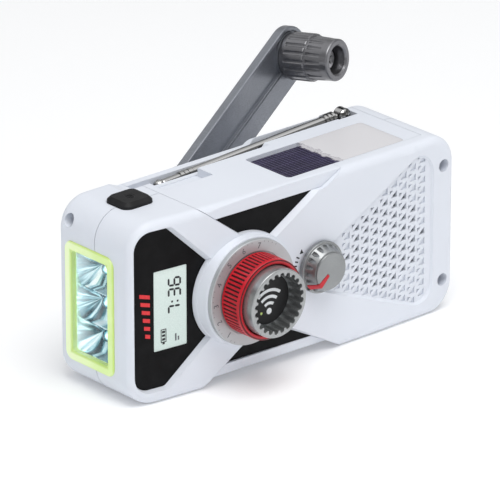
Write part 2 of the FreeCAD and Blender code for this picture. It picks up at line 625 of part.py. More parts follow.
def inlay(seat, play):
    points = [shifted(corner, dx, dz) for corner, (dx, dz) in zip(seat, play)]
    return plate(MIDDLE_FX, points, *PANEL_Y).cut(collar_disc(0.08))


save("display_panel", display_panel())
save("lcd_module", lcd_module())
save("upper_inlay", inlay(UPPER_SEAT, UPPER_PLAY))
save("lower_inlay", inlay(LOWER_SEAT, LOWER_PLAY))


# ---------------------------------------------------------------- dial, band ring, tuning knob
def dial_ring():
    dial = ring_y(TUNE, DIAL_Y, COLLAR_Y - 0.01, DIAL_R, SLEEVE_RO + 0.08)
    rim = [e for e in flat_edges(dial, "Y", DIAL_Y) if e.BoundBox.XLength > 30]
    dial = try_fillet(dial, rim, 0.35)
    # shallow track the band ring runs over
    return dial.cut(ring_y(TUNE, DIAL_Y - 1, DIAL_Y + 0.4, BAND_RO + 0.5, SLEEVE_RO - 1))


def band_ring():
    back = DIAL_Y - 0.15
    band = ring_y(TUNE, BAND_Y, back, BAND_RO, BAND_RI)
    band = try_fillet(band, flat_edges(band, "Y", BAND_Y), 0.5)
    band = band.cut([cyl_y(at, BAND_Y + 1.4, DIAL_Y - 0.9, 0.44)
                     for at in around(TUNE, BAND_RO + 0.12, 60)])
    # web and sleeve
    return band.fuse([ring_y(TUNE, DIAL_Y - 1.6, back, BAND_RI + 0.4, SLEEVE_RI),
                      ring_y(TUNE, DIAL_Y - 1.6, -12.4, SLEEVE_RO, SLEEVE_RI)])


def tuning_knob():
    knob = cyl_y(TUNE, KNOB_Y, -28.9, KNOB_R)
    knob = try_fillet(knob, flat_edges(knob, "Y", KNOB_Y), 0.5)
    # toothed recess in its face
    recess_y = (KNOB_Y - 1, KNOB_Y + 6.6)
    recess = cyl_y(TUNE, *recess_y, 10.1)
    recess = recess.fuse([cyl_y(at, *recess_y, 0.95)
                          for at in around(TUNE, 10.35, 24, start=7.5)])
    knob = knob.cut(recess)
    return knob.cut([cyl_y(TUNE, -33.2, -20, SHAFT_BORE_R),
                     ring_y(TUNE, -32.8, -20, 11.0, 5.2)])


def tuning_cap():
    front = KNOB_Y + 5.4
    cap = cyl_y(TUNE, front, KNOB_Y + 6.55, 9.25)
    return try_fillet(cap, flat_edges(cap, "Y", front), 0.3)


save("dial_ring", dial_ring())
save("band_ring", band_ring())
save("tuning_knob", tuning_knob())
save("tuning_cap", tuning_cap())
save("tuning_shaft", cyl_y(TUNE, -33.15, -11.0, SHAFT_R))

# ---------------------------------------------------------------- volume knob
FLANGE_Y, DISC_Y, GRIP_Y = -26.5, -31.0, -30.3      # fronts of flange, end disc, fluted cone
POINTER_DIR = -140                                  # degrees: down and to the left


def pointer_outline(r0, r1, play=0):
    """Outline along the pointer's direction that widens outwards."""
    ux, uz = polar((0, 0), 1, POINTER_DIR)
    points = []
    for r, side in ((r0, 1), (r0, -1), (r1, -1), (r1, 1)):
        half = side * (0.40 + 0.095 * r + play)
        points.append((VOLUME[0] + ux * r - uz * half, VOLUME[1] + uz * r + ux * half))
    return points


def volume_knob():
    knob = cyl_y(VOLUME, FLANGE_Y, -25.05, VOLUME_R)
    knob = try_fillet(knob, flat_edges(knob, "Y", FLANGE_Y), 0.35)
    flutes = [cone_y(at, -30.4, -26.8, 1.0, 0.75) for at in around(VOLUME, 8.5, 20)]
    knob = knob.fuse(cone_y(VOLUME, GRIP_Y, FLANGE_Y, 7.2, 8.9)).cut(flutes)
    disc = cyl_y(VOLUME, DISC_Y, -30.2, 6.8)
    disc = try_fillet(disc, flat_edges(disc, "Y", DISC_Y), 0.3)
    knob = knob.fuse(disc)
    # seat for the pointer, from near the centre out through the rim
    play = 0.13
    seat = [prism_y(pointer_outline(1.6, 12, play), -32, -30.5),
            prism_y(pointer_outline(6.4, 12, play), -32, -25.6)
            .cut(cyl_y(VOLUME, -33, -20, 8.9)),
            prism_y(pointer_outline(6.2, 12, play), -32, -26.6)
            .cut(cyl_y(VOLUME, -33, -20, 6.3))]
    knob = knob.cut(seat)
    return knob.cut(cyl_y(VOLUME, -29.5, -20, SHAFT_BORE_R))


def volume_pointer():
    front = -31.1
    face_bar = prism_y(pointer_outline(1.75, 6.7), front, -30.5)
    side_bar = prism_y(pointer_outline(6.4, 9.75), front, -26.62)
    return fused(face_bar, side_bar.common(cone_y(VOLUME, front, -25.0, 6.95, 9.75)))


save("volume_knob", volume_knob())
save("volume_pointer", volume_pointer())
save("volume_shaft", cyl_y(VOLUME, -29.4, -11.0, SHAFT_R))

# ---------------------------------------------------------------- controls behind the face
CONTROL_BACK = -9.7                    # backs of the controls, just ahead of the board


def rotary_control(centre, half=5.5):
    body = box(centre[0] - half, centre[0] + half, -16.2, CONTROL_BACK,
               centre[1] - half, centre[1] + half)
    body = body.fuse(cyl_y(centre, -19.4, -16.2, 3.5))
    return body.cut(cyl_y(centre, -30, -10.6, 3.05))


def main_board():
    board = prism_y([(-52, 12), (-47, 8.4), (14, 8.4), (16, 12), (16, 58), (12, 61), (-48, 61),
                     (-52, 56)], -9.65, -8.05)
    # clearance for a rear screw boss
    x, z = REAR_SCREWS[2]
    return board.cut([cyl_y((x, z), -20, 0, 3.2), box(x - 3.2, x + 3.2, -20, 0, 0, z)])


save("tuning_encoder", rotary_control(TUNE))
save("volume_pot", rotary_control(VOLUME))
save("band_switch", fused(ring_y(TUNE, -15.6, CONTROL_BACK, 12.6, 9.48),
                          ring_y(TUNE, -12.2, CONTROL_BACK, 12.6, 8.1)))
save("main_board", main_board())


# ---------------------------------------------------------------- speaker and battery
def speaker_frame():
    frame = cyl_y(SPEAKER, -20.2, -18.4, SPEAKER_R)
    frame = frame.fuse(cone_y(SPEAKER, -18.4, -12.0, 18.0, 10.5))
    frame = frame.cut([cone_y(SPEAKER, -18.45, -13.0, 16.9, 9.4),
                       cyl_y(SPEAKER, -21, -18.4, 17.4), cyl_y(SPEAKER, -14, -11, 5.0)])
    for at in around(SPEAKER, 14.4, 4, start=45):
        frame = frame.cut(cyl_y(at, -17.6, -11, 2.9))
    return frame


def speaker_cone():
    cone = cone_y(SPEAKER, -19.2, -13.6, 17.1, 5.4).cut(
        cone_y(SPEAKER, -19.7, -14.1, 17.1, 5.4))
    dome = Part.makeSphere(8.0, V(SPEAKER[0], -9.4, SPEAKER[1]))
    return cone.fuse([cyl_y(SPEAKER, -14.3, -13.6, 5.6),
                      cyl_y(SPEAKER, -14.0, -9.2, 4.0).cut(cyl_y(SPEAKER, -13.7, -9.0, 3.6)),
                      dome.common(cyl_y(SPEAKER, -18.5, -14.2, 5.3))])


save("speaker_frame", speaker_frame())
save("speaker_magnet",
     cyl_y(SPEAKER, -11.95, -7.0, 10.5).cut(cyl_y(SPEAKER, -13, -8.6, 4.4)))
save("speaker_cone", speaker_cone())
save("battery_pack", prism_x(rect(3.0, 17.5, 11.5, 40.0), 17.0, 48.5, 2.0))

# ---------------------------------------------------------------- solar panel
save("solar_cell", prism_z(rect(*SOLAR, grow=-0.6), HEIGHT - 1.98, HEIGHT - 1.3, 1.0))
save("solar_cover", prism_z(rect(*SOLAR, grow=-GAP), HEIGHT - 1.28, HEIGHT - 0.05, 1.55))

# ---------------------------------------------------------------- flashlight end
RING_X = -74.1                         # outer face of the ring
LED_PITCH, LED_R, LED_X = 12.6, 2.4, -65.0
LED_Z = [LIGHT_Z + LED_PITCH * i for i in (-1, 0, 1)]


def glow_ring():
    ring = prism_x(rect(*RING), RING_X, -71.45, 3.5)
    ring = ring.cut(prism_x(rect(*RING, grow=-RING_BAND), -80, -70, 1.6))
    return try_fillet(ring, flat_edges(ring, "X", RING_X), 0.7)


def led_reflector():
    reflector = prism_x(rect(*RING, grow=-2.1), -71.4, -61.5, 2.6)
    for z in LED_Z:
        bowl = Part.makeCone(9.4, 3.0, 8.6, V(-71.41, LIGHT_Y, z), V(1, 0, 0))
        bowl = bowl.common(box(-72, -60, LIGHT_Y - 9.3, LIGHT_Y + 9.3, z - 6.1, z + 6.1))
        reflector = reflector.cut([bowl, cyl_x((LIGHT_Y, z), -64, -60, 2.6)])
    return reflector


def led(z):
    dome = Part.makeSphere(LED_R, V(LED_X, LIGHT_Y, z))
    return fused(cyl_x((LIGHT_Y, z), LED_X, -60.6, LED_R),
                 dome.common(box(-68, LED_X, -20, 20, 0, 68)))


def light_button():
    button = prism_z(rect(*BUTTON), 64.9, BUTTON_TOP, 3.1)
    button = try_fillet(button, flat_edges(button, "Z", BUTTON_TOP), 1.25, chamfer=True)
    # finger dish in the top, stem below
    button = button.cut(Part.makeSphere(6.0, V(BUTTON_X, BUTTON_Y, BUTTON_TOP + 5.65)))
    return fused(button, cyl_z((BUTTON_X, BUTTON_Y), 62.1, 65.0, 2.0))


save("glow_ring", glow_ring())
save("flashlight_lens", prism_x(rect(*RING, grow=-RING_BAND - GAP), -73.3, -72.1, 1.5))
save("led_reflector", led_reflector())
save("flashlight_leds", Part.makeCompound([led(z) for z in LED_Z]))
save("led_board", box(-60.5, -59.0, *centred(LIGHT_Y, LIGHT_Z, 9.5, 19.0)))
save("light_button", light_button())
save("light_switch", fused(box(*centred(BUTTON_X, BUTTON_Y, 3, 3), 57.6, 60.6),
                           cyl_z((BUTTON_X, BUTTON_Y), 60.6, 61.1, 1.7)))


# ---------------------------------------------------------------- screws
def cross_recess(centre, y0, y1, half_length, half_width):
    x, z = centre
    return [box(x - a, x + a, y0, y1, z - b, z + b)
            for a, b in ((half_length, half_width), (half_width, half_length))]


def screw(centre, head, under, head_r, end, thread_r, recess_end):
    """Cross-recess screw; head, under, end and recess_end are y stations."""
    outward = -1 if head < under else 1
    body = cyl_y(centre, *sorted((head, under)), head_r)
    recess_y = sorted((head + outward * 0.1, recess_end))
    body = body.cut(cross_recess(centre, *recess_y, 1.3, 0.3))
    return fused(body, cyl_y(centre, *sorted((under + outward * 0.1, end)), thread_r))


screws = [screw(at, head=-19.3, under=-17.52, head_r=2.25, end=9.0, thread_r=1.2,
                recess_end=-18.4) for at in FRONT_SCREWS]
screws += [screw(at, head=13.9, under=12.03, head_r=2.4, end=-8.5, thread_r=1.12,
                 recess_end=12.9) for at in REAR_SCREWS]
save("case_screws", Part.makeCompound(screws))

# ---------------------------------------------------------------- ports
PORT_FACE = BACK_Y - 1.5               # mouths of the ports


def headphone_jack():
    x, z = JACK
    jack = box(x - 3.6, x + 3.6, 6.0, BACK_Y - 3.45, z - 4.0, z + 4.0)
    jack = jack.fuse(cyl_y(JACK, BACK_Y - 3.5, PORT_FACE, 3.05))
    return jack.cut(cyl_y(JACK, 7.0, 30, 1.8)).removeSplitter()


def usb_port():
    x0, x1, z = USB[0] - 5.85, USB[0] + 3.85, USB[1]
    shell = box(x0, x1, 8.0, PORT_FACE, z - 2.85, z + 2.85)
    shell = shell.cut(box(x0 + 0.6, x1 - 0.6, 9.5, 30, z - 2.2, z + 2.2))
    return shell.fuse(box(x0 + 1.4, x1 - 1.4, 9.4, BACK_Y - 2.2, z + 0.2, z + 1.4))


def charge_port():
    x, z = CHARGE
    shell = box(x - 3.8, x + 3.8, 12.0, PORT_FACE, z - 1.6, z + 1.6)
    shell = shell.cut(box(x - 3.3, x + 3.3, 13.0, 30, z - 1.2, z + 1.2))
    return shell.fuse(box(x - 2.4, x + 2.4, 12.9, BACK_Y - 2.4, z - 0.3, z + 0.3))


def port_cover():
    inner, outer = BACK_Y - 1.35, BACK_Y - 0.05
    cover = prism_x([(inner, BAY_Z0 + 0.25), (outer - 0.1, BAY_Z0 + 0.25),
                     (outer, BAY_Z0 + 0.9), (outer, BAY_Z1 - 0.1), (inner, BAY_Z1 - 0.1)],
                    BAY_X0 + 0.1, BAY_X1 - 0.1)
    # notch in the upper edge
    return cover.cut(box(BAY_X0 + 9, BAY_X1 - 9, BACK_Y - 0.7, BACK_Y + 1,
                         BAY_Z1 - 2.2, BAY_Z1 + 1))


save("headphone_jack", headphone_jack())
save("usb_port", usb_port())
save("charge_port", charge_port())
save("port_board", box(BAY_X0 + 1.6, BAY_X1 - 0.5, 6.1, BACK_Y - 5.0, BAY_Z0 - 0.6, 13.9))
save("port_cover", port_cover())

# ---------------------------------------------------------------- antenna
PIN_R, PIN_HOLE_R = 0.80, 0.85
END_R = 2.1                            # collars and the ball at the tip
BALL_S = 86.3                          # distance of the ball's centre from the pivot
SWIVEL_RODS = [                        # from, to (distances from the pivot), radius
    (2.2, 4.6, 1.35), (4.4, 5.4, 2.6), (5.4, 6.2, 2.0), (6.2, 7.2, 2.6),
    (7.2, 8.0, 2.0), (8.0, 9.0, 2.6), (8.9, 12.0, 1.5)]


def pivot_cyl(half, r):
    return cyl_y((PIVOT_X, PIVOT_Z), PIVOT_Y - half, PIVOT_Y + half, r)


def antenna_bracket():
    bracket = fused(Part.makeSphere(3.0, PIVOT),
                    box(PIVOT_X - 2.2, PIVOT_X + 2.2, PIVOT_Y - 2.6, PIVOT_Y + 2.6,
                        63.9, PIVOT_Z))
    bracket = fused(bracket, box(PIVOT_X - 2.6, PIVOT_X + 3.4, PIVOT_Y - 3.0, PIVOT_Y + 3.0,
                                 62.15, 64.0))
    fork_slot = box(PIVOT_X - 6, PIVOT_X + 6, PIVOT_Y - 1.5, PIVOT_Y + 1.5,
                    PIVOT_Z - 3.12, PIVOT_Z + 6)
    return bracket.cut([fork_slot, pivot_cyl(4, PIN_HOLE_R)])


def turned(profile):
    """Revolve (distance from the pivot, radius) corners about the antenna's axis."""
    up = V(ANTENNA_DIR.z, 0, -ANTENNA_DIR.x)
    points = [PIVOT + ANTENNA_DIR * s + up * r for s, r in profile]
    return Part.Face(Part.makePolygon(points + [points[0]])).revolve(PIVOT, ANTENNA_DIR, 360)


def collared_tube(start, bore_r, outer_r, collar_start, collar_end):
    return turned([(start, bore_r), (start, outer_r), (collar_start, outer_r),
                   (collar_start, END_R), (collar_end, END_R), (collar_end, bore_r)])


def antenna_tip():
    """Innermost rod with its collar, end knob and ball."""
    ball = [polar((BALL_S, 0), END_R, degrees) for degrees in range(132, 0, -12)]
    return turned([(14.2, 0), (14.2, 0.81), (75.4, 0.81), (75.4, END_R), (77.0, END_R),
                   (77.0, 1.5), (77.4, 1.5), (77.4, 1.7), (84.5, 1.7)]
                  + ball + [(BALL_S + END_R, 0)])


save("antenna_bracket", antenna_bracket())
save("antenna_swivel", fused(pivot_cyl(1.44, 2.95).cut(pivot_cyl(4, PIN_HOLE_R)),
                             *[rod(*stations) for stations in SWIVEL_RODS]))
save("antenna_pin", pivot_cyl(2.75, PIN_R))
# three tubes that slide in one another; the two inner ones end in a collar
save("antenna_tube_1", turned([(9.02, 1.62), (9.02, 2.0), (71.3, 2.0), (71.3, 1.62)]))
save("antenna_tube_2", collared_tube(12.6, 1.24, 1.57, 71.5, 73.1))
save("antenna_tube_3", collared_tube(13.4, 0.86, 1.19, 73.4, 75.1))
save("antenna_tip", antenna_tip())

# ---------------------------------------------------------------- crank
# Local frame: hinge at the origin, arm along +X, fold pin along Z, case towards -Y.
HUB_PLACE = FreeCAD.Placement(V(CRANK[0], HINGE_Y, CRANK[1]),
                              FreeCAD.Rotation(V(0, 1, 0), -ARM_ANGLE))
ARM_PLACE = HUB_PLACE.multiply(
    FreeCAD.Placement(V(0, 0, 0), FreeCAD.Rotation(V(0, 0, 1), ARM_LEAN)))
HINGE, ARM_END = (0, 0), (ARM_LEN, 0)
ARM_FRONT, ARM_BACK = -ARM_T / 2, ARM_T / 2


def placed(shape, placement):
    shape = shape.copy()
    shape.transformShape(placement.toMatrix())
    return shape


def crank_hub():
    """Disc with the tongue that carries the fold pin."""
    disc_back, tongue = -3.55, 4.45
    hub = cyl_y(HINGE, -5.9, disc_back, 12.2)
    hub = try_fillet(hub, flat_edges(hub, "Y", disc_back), 0.6)
    hub = hub.fuse([box(-3.4, 3.4, -3.7, 0, -tongue, tongue),
                    cyl_z(HINGE, -tongue, tongue, 3.4)])
    return hub.cut([cyl_z(HINGE, -6, 6, 1.53), cyl_y(HINGE, -7, -4.4, 3.0)])


def crank_arm():
    half = ARM_W / 2
    arm = fused(box(0, ARM_LEN, ARM_FRONT, ARM_BACK, -half, half),
                cyl_y(ARM_END, ARM_FRONT, ARM_BACK, half), cyl_z(HINGE, -half, half, 3.4))
    rims = [e for e in arm.Edges
            if (e.BoundBox.XLength > 30 or e.BoundBox.XMin > 60) and e.BoundBox.YLength < 0.01]
    arm = try_fillet(arm, rims, 0.5)
    # front face: upper and lower channels with a slotted rib between; one wide back channel
    x0, x1, end_x, out = 8.0, ARM_LEN + 2, ARM_LEN + 20, ARM_FRONT - 1
    upper = box(x0, x1, out, ARM_FRONT + 1.1, -1.35, half - 1.5).fuse(
        cyl_y(ARM_END, out, ARM_FRONT + 1.1, half - 1.5)
        .common(box(ARM_LEN, end_x, -5, 5, -1.35, 20)))
    lower = box(x0, x1, out, ARM_FRONT + 0.55, -half - 1, -2.9).fuse(
        box(ARM_LEN, end_x, out, ARM_FRONT + 0.55, -half - 1, -2.9))
    rib_slot = box(x0, x1, out, ARM_FRONT + 0.35, -2.45, -1.8)
    back = box(x0, x1, ARM_BACK - 1.0, ARM_BACK + 1, -half + 1.6, half - 1.6)
    boss = cyl_y(ARM_END, -5, 5, 8.7)
    arm = arm.cut([upper.cut(boss), lower.cut(boss), rib_slot.cut(boss),
                   back.cut(cyl_y(ARM_END, -5, 5, 6.0))])
    # fork slot round the hub tongue, pin hole, axle hole
    return arm.cut([box(-5, 4.6, -6, 6, -4.55, 4.55), cyl_z(HINGE, -12, 12, 1.54),
                    cyl_y(ARM_END, -6, 6, 2.52)])


def knob_axle():
    axle = cyl_y(ARM_END, ARM_FRONT - 14.8, ARM_BACK - 0.2, 2.5)
    return axle.cut(cyl_y(ARM_END, ARM_FRONT - 17, ARM_FRONT - 7.4, 1.27))


def crank_knob():
    """Foot disc, two grooved tiers and a smooth end, from the arm towards the case."""
    foot = ARM_FRONT - 0.15
    end = foot - CRANK_KNOB_LEN
    knob = cyl_y(ARM_END, foot - 1.9, foot, 8.4)
    knob = try_fillet(knob, [e for e in knob.Edges if e.BoundBox.YLength < 0.01], 0.3)
    wide_tier = cyl_y(ARM_END, foot - 10.7, foot - 1.8, 8.85)
    narrow_tier = cone_y(ARM_END, foot - 17.9, foot - 10.6, 7.75, 8.15)
    wide_tier = try_fillet(wide_tier, flat_edges(wide_tier, "Y", foot - 10.7), 0.6)
    wide_tier = wide_tier.cut([cyl_y(at, foot - 11.5, foot - 2.2, 0.95)
                               for at in around(ARM_END, 9.3, 18, start=10)])
    narrow_tier = narrow_tier.cut([cyl_y(at, foot - 17.2, foot - 11.2, 0.95)
                                   for at in around(ARM_END, 8.5, 18, start=10)])
    tip = cyl_y(ARM_END, end, foot - 17.8, 7.75)
    tip = try_fillet(tip, flat_edges(tip, "Y", end), 0.7)
    knob = knob.fuse([wide_tier, narrow_tier, tip])
    knob = knob.cut([cyl_y(ARM_END, end - 1, foot - 13.9, 5.2),
                     cyl_y(ARM_END, foot - 30, foot + 1, 2.56)])
    mouth = [e for e in flat_edges(knob, "Y", end) if 10 < e.BoundBox.XLength < 11]
    return try_fillet(knob, mouth, 0.6, chamfer=True)


def knob_screw():
    head = ARM_FRONT - 16.6
    body = cyl_y(ARM_END, head, ARM_FRONT - 14.85, 3.9)
    body = try_fillet(body, flat_edges(body, "Y", head), 0.6)
    body = body.cut(cross_recess(ARM_END, ARM_FRONT - 18, ARM_FRONT - 15.7, 2.2, 0.4))
    return fused(body, cyl_y(ARM_END, ARM_FRONT - 14.9, ARM_FRONT - 8.0, 1.25))


save("crank_hub", placed(crank_hub(), HUB_PLACE))
save("crank_shaft", fused(cyl_y(CRANK, 12.0, HINGE_Y - 4.45, 2.98),
                          cyl_y(CRANK, 5.2, 12.1, 1.9)))
save("fold_pin", placed(cyl_z(HINGE, -10.3, 10.3, 1.5), HUB_PLACE))
save("crank_arm", placed(crank_arm(), ARM_PLACE))
save("knob_axle", placed(knob_axle(), ARM_PLACE))
save("crank_knob", placed(crank_knob(), ARM_PLACE))
save("knob_screw", placed(knob_screw(), ARM_PLACE))


# ---------------------------------------------------------------- bearing, gears, generator
def centre_distance(teeth_a, teeth_b):
    return GEAR_MODULE * (teeth_a + teeth_b) / 2 + CENTRE_EXTRA


IDLER = polar(CRANK, centre_distance(DRIVE_TEETH, IDLER_PINION_TEETH), IDLER_DIR)
GENERATOR = polar(IDLER, centre_distance(IDLER_TEETH, GENERATOR_TEETH), GENERATOR_DIR)


def gear(centre, y0, y1, teeth, phase, bore_r=0):
    """Spur gear with involute flanks; phase is the angle of one tooth's centre, in degrees."""
    pressure = math.radians(PRESSURE_ANGLE)
    pitch_r = GEAR_MODULE * teeth / 2
    base_r = pitch_r * math.cos(pressure)
    tip_r = pitch_r + ADDENDUM * GEAR_MODULE
    root_r = pitch_r - DEDENDUM * GEAR_MODULE
    half = math.pi / (2 * teeth) - GEAR_PLAY / 2 / pitch_r
    start_r = max(base_r, root_r) + 1e-3
    flank = []                         # radius, half angle of the tooth there
    for i in range(4):
        r = start_r + (tip_r - start_r) * i / 3
        roll = math.acos(min(1, base_r / r))
        flank.append((r, half + math.tan(pressure) - pressure - (math.tan(roll) - roll)))
    if root_r < start_r - 0.02:
        flank.insert(0, (root_r, flank[0][1]))
    tooth = [(r, -a) for r, a in flank] + [(r, a) for r, a in flank[::-1]]
    points = []
    for k in range(teeth):
        middle = math.radians(phase) + 2 * math.pi * k / teeth
        points += [(centre[0] + r * math.cos(middle + a), centre[1] + r * math.sin(middle + a))
                   for r, a in tooth]
    body = prism_y(points, y0, y1)
    return body.cut(cyl_y(centre, y0 - 1, y1 + 1, bore_r)) if bore_r else body


def meshing(direction_in, teeth):
    """Phase that turns a tooth gap towards the driving gear."""
    return direction_in + 180 + 180.0 / teeth


def crank_bushing():
    bushing = cyl_y(CRANK, 17.95, 22.9, 4.95).fuse(cyl_y(CRANK, 16.9, 17.97, 6.4))
    return bushing.cut(cyl_y(CRANK, 10, 30, 3.03)).removeSplitter()


def gearbox_plate():
    outline = [shifted(CRANK, -8, 9), shifted(CRANK, 8, 9), shifted(IDLER, 16.5, -4),
               shifted(IDLER, 12, -16), shifted(GENERATOR, -12, -13),
               shifted(GENERATOR, -13, 8)]
    body = prism_y(outline, 4.6, 7.2, 3)
    # posts to the back wall
    posts = [(CRANK[0] + 20.1, 27.0), (CRANK[0] - 17.1, 21.0), (CRANK[0] - 16.5, 38.5)]
    body = body.fuse([cyl_y(at, 5.0, 18.55, 2.0) for at in posts])
    return body.cut([cyl_y(CRANK, 0, 10, 1.93), cyl_y(IDLER, 0, 10, 1.5),
                     cyl_y(GENERATOR, 0, 10, 2.2)])


def generator_body():
    front = -7.4
    can = cyl_y(GENERATOR, front, 4.55, 11.0)
    can = try_fillet(can, flat_edges(can, "Y", front), 1.0)
    can = can.cut(cyl_y(GENERATOR, -6.4, 6, 1.28))
    return can.cut(ring_y(GENERATOR, -5.5, 2.5, 9.6, 6.4))


save("crank_bushing", crank_bushing())
save("drive_gear", gear(CRANK, 12.3, 16.4, DRIVE_TEETH, IDLER_DIR, 2.99))
save("idler_gear", fused(
    gear(IDLER, 11.9, 16.6, IDLER_PINION_TEETH, meshing(IDLER_DIR, IDLER_PINION_TEETH), 1.53),
    gear(IDLER, 8.2, 11.9, IDLER_TEETH, GENERATOR_DIR, 1.53)))
save("idler_pin", cyl_y(IDLER, 5.4, 17.95, 1.5))
save("generator_pinion", fused(
    gear(GENERATOR, 8.0, 12.2, GENERATOR_TEETH, meshing(GENERATOR_DIR, GENERATOR_TEETH)),
    cyl_y(GENERATOR, -4.5, 8.1, 1.2)))
save("gearbox_plate", gearbox_plate())
save("generator_body", generator_body())
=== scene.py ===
"""Hand-crank radio with a tuning dial, volume knob, side flashlight, solar cell and antenna.

The case stands on the floor (z = 0) with +Z up. Its bowed front faces -Y and its flashlight
end faces -X. The CAD pieces get their finishes here; printed marks are added as thin solids.
Case dimensions are in millimetres; shader and stage values are in metres.
"""

import math

import bmesh
import bpy
from mathutils import Matrix, Vector


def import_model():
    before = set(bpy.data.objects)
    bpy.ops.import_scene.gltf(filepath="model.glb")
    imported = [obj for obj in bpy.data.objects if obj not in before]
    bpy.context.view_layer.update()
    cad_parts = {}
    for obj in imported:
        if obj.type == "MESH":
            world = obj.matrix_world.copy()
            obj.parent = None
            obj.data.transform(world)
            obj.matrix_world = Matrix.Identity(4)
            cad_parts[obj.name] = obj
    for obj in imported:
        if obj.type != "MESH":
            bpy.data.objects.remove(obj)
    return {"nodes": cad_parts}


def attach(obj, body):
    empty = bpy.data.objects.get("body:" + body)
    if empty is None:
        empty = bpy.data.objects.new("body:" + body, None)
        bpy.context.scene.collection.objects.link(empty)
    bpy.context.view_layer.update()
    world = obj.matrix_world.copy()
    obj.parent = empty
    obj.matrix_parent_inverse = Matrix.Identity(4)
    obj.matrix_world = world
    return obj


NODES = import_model()["nodes"]
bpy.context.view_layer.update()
MM = 0.001

# ---------------------------------------------------------------- layout of the case (mm)
# The front is a parabola in x, foremost at BOW_X
BOW_X, BOW_CURVATURE, BOW_FRONT_Y = 36.0, 0.000598, -25.0
TUNING_X, TUNING_Z = -25.0, 34.0
VOLUME_X, VOLUME_Z = 8.0, 34.0
BUTTON_X, BUTTON_Y = -57.0, 1.2
DISPLAY_X = -57.0                        # where the flat display touches the bow
RING_Y, RING_Z = 3.4, 31.8               # centre of the glow ring on the left end
RING_HALF_Y, RING_HALF_Z = 13.0, 22.3
RING_HALF_BAND = 1.65


def bow(x):
    """Y of the case front at x."""
    return BOW_FRONT_Y + BOW_CURVATURE * (x - BOW_X) ** 2


# ---------------------------------------------------------------- node helpers
MATERIALS = {}


class Graph:
    """Adds nodes to a tree. Apart from add and feed, methods return output sockets."""

    def __init__(self, tree):
        self.tree = tree
        tree.nodes.clear()

    def feed(self, socket, value):
        """Links a socket to another, or sets its constant (colours are given as RGB)."""
        if hasattr(value, "is_linked"):
            self.tree.links.new(value, socket)
        elif socket.type == "RGBA":
            socket.default_value = (*value, 1.0)
        else:
            socket.default_value = value

    def add(self, kind, inputs=None, **settings):
        node = self.tree.nodes.new("ShaderNode" + kind)
        for key, value in settings.items():
            setattr(node, key, value)
        for key, value in (inputs or {}).items():
            self.feed(node.inputs[key], value)
        return node

    def calc(self, operation, *operands, clamp=False):
        inputs = dict(enumerate(operands))
        return self.add("Math", inputs, operation=operation, use_clamp=clamp).outputs[0]

    def linear(self, value, slope, offset, clamp=False):
        return self.calc("MULTIPLY_ADD", value, slope, offset, clamp=clamp)

    def rise(self, value, slope, start):
        """0 up to start, then climbs at the given slope to 1."""
        return self.linear(value, slope, offset=-slope * start, clamp=True)

    def mix(self, factor, first, second, mode="MIX"):
        inputs = {0: factor, 6: first, 7: second}
        return self.add("Mix", inputs, data_type="RGBA", blend_type=mode).outputs[2]

    def ramp(self, value, stops):
        """Stops are (position, RGB or grey level)."""
        node = self.add("ValToRGB", {0: value})
        elements = node.color_ramp.elements
        while len(elements) < len(stops):
            elements.new(0.5)
        for element, (position, colour) in zip(elements, stops):
            if isinstance(colour, (int, float)):
                colour = (colour, colour, colour)
            element.position = position
            element.color = (*colour, 1.0)
        return node.outputs[0]

    def fade(self, value, low, high, start=0.3, end=0.7):
        return self.ramp(value, [(start, low), (end, high)])

    def split(self, vector):
        return self.add("SeparateXYZ", {0: vector}).outputs

    def combine(self, x=0.0, y=0.0, z=0.0):
        return self.add("CombineXYZ", {0: x, 1: y, 2: z}).outputs[0]


class Material(Graph):
    """A Principled material whose textures follow object coordinates."""

    def __init__(self, name):
        material = bpy.data.materials.new(name)
        material.use_nodes = True
        super().__init__(material.node_tree)
        output = self.add("OutputMaterial")
        self.principled = self.add("BsdfPrincipled")
        self.feed(output.inputs[0], self.principled.outputs[0])
        self.coords = self.add("TexCoord").outputs["Object"]
        MATERIALS[name] = material

    def set(self, inputs):
        for key, value in inputs.items():
            self.feed(self.principled.inputs[key], value)

    def mapped(self, scale, rotation=(0, 0, 0)):
        inputs = {"Vector": self.coords, "Rotation": rotation, "Scale": scale}
        return self.add("Mapping", inputs).outputs[0]

    def noise(self, scale, detail=2.0, roughness=0.5, vector=None):
        vector = self.coords if vector is None else vector
        inputs = {"Scale": scale, "Detail": detail, "Roughness": roughness, "Vector": vector}
        return self.add("TexNoise", inputs).outputs[0]

    def facing(self):
        return self.add("LayerWeight", {"Blend": 0.5}).outputs["Facing"]

    def bump(self, height, strength, depth, edge=0.0):
        """Relief of a depth in mm; edge is the radius in mm of shaded edge softening."""
        inputs = {"Strength": strength, "Distance": depth * MM, "Height": height}
        node = self.add("Bump", inputs)
        if edge:
            bevel = self.add("Bevel", {"Radius": edge * MM}, samples=4)
            self.feed(node.inputs["Normal"], bevel.outputs[0])
        self.set({"Normal": node.outputs[0]})


# ---------------------------------------------------------------- plain finishes
GRAIN_ROUGHNESS = 0.08      # how far the grain moves roughness either way


def surface(name, colour, roughness, metallic, tint_spread, tint_scale, grain_scale,
            relief, depth, edge, specular, stretch_y=1):
    """A finish with a broad tint variation and a fine grain in roughness and relief."""
    mat = Material(name)
    tint = mat.noise(tint_scale, detail=3)
    low = tuple(v * (1 - tint_spread) for v in colour)
    high = tuple(v * (1 + tint_spread) for v in colour)
    grain = mat.noise(grain_scale, vector=mat.mapped((1, stretch_y, 1)))
    mat.set({
        "Base Color": mat.fade(tint, low, high, start=0.35, end=0.65),
        "Roughness": mat.fade(grain, roughness - GRAIN_ROUGHNESS, roughness + GRAIN_ROUGHNESS),
        "Metallic": metallic,
        "Specular IOR Level": specular,
        "Coat Roughness": 0.15,
    })
    mat.bump(grain, relief, depth, edge)


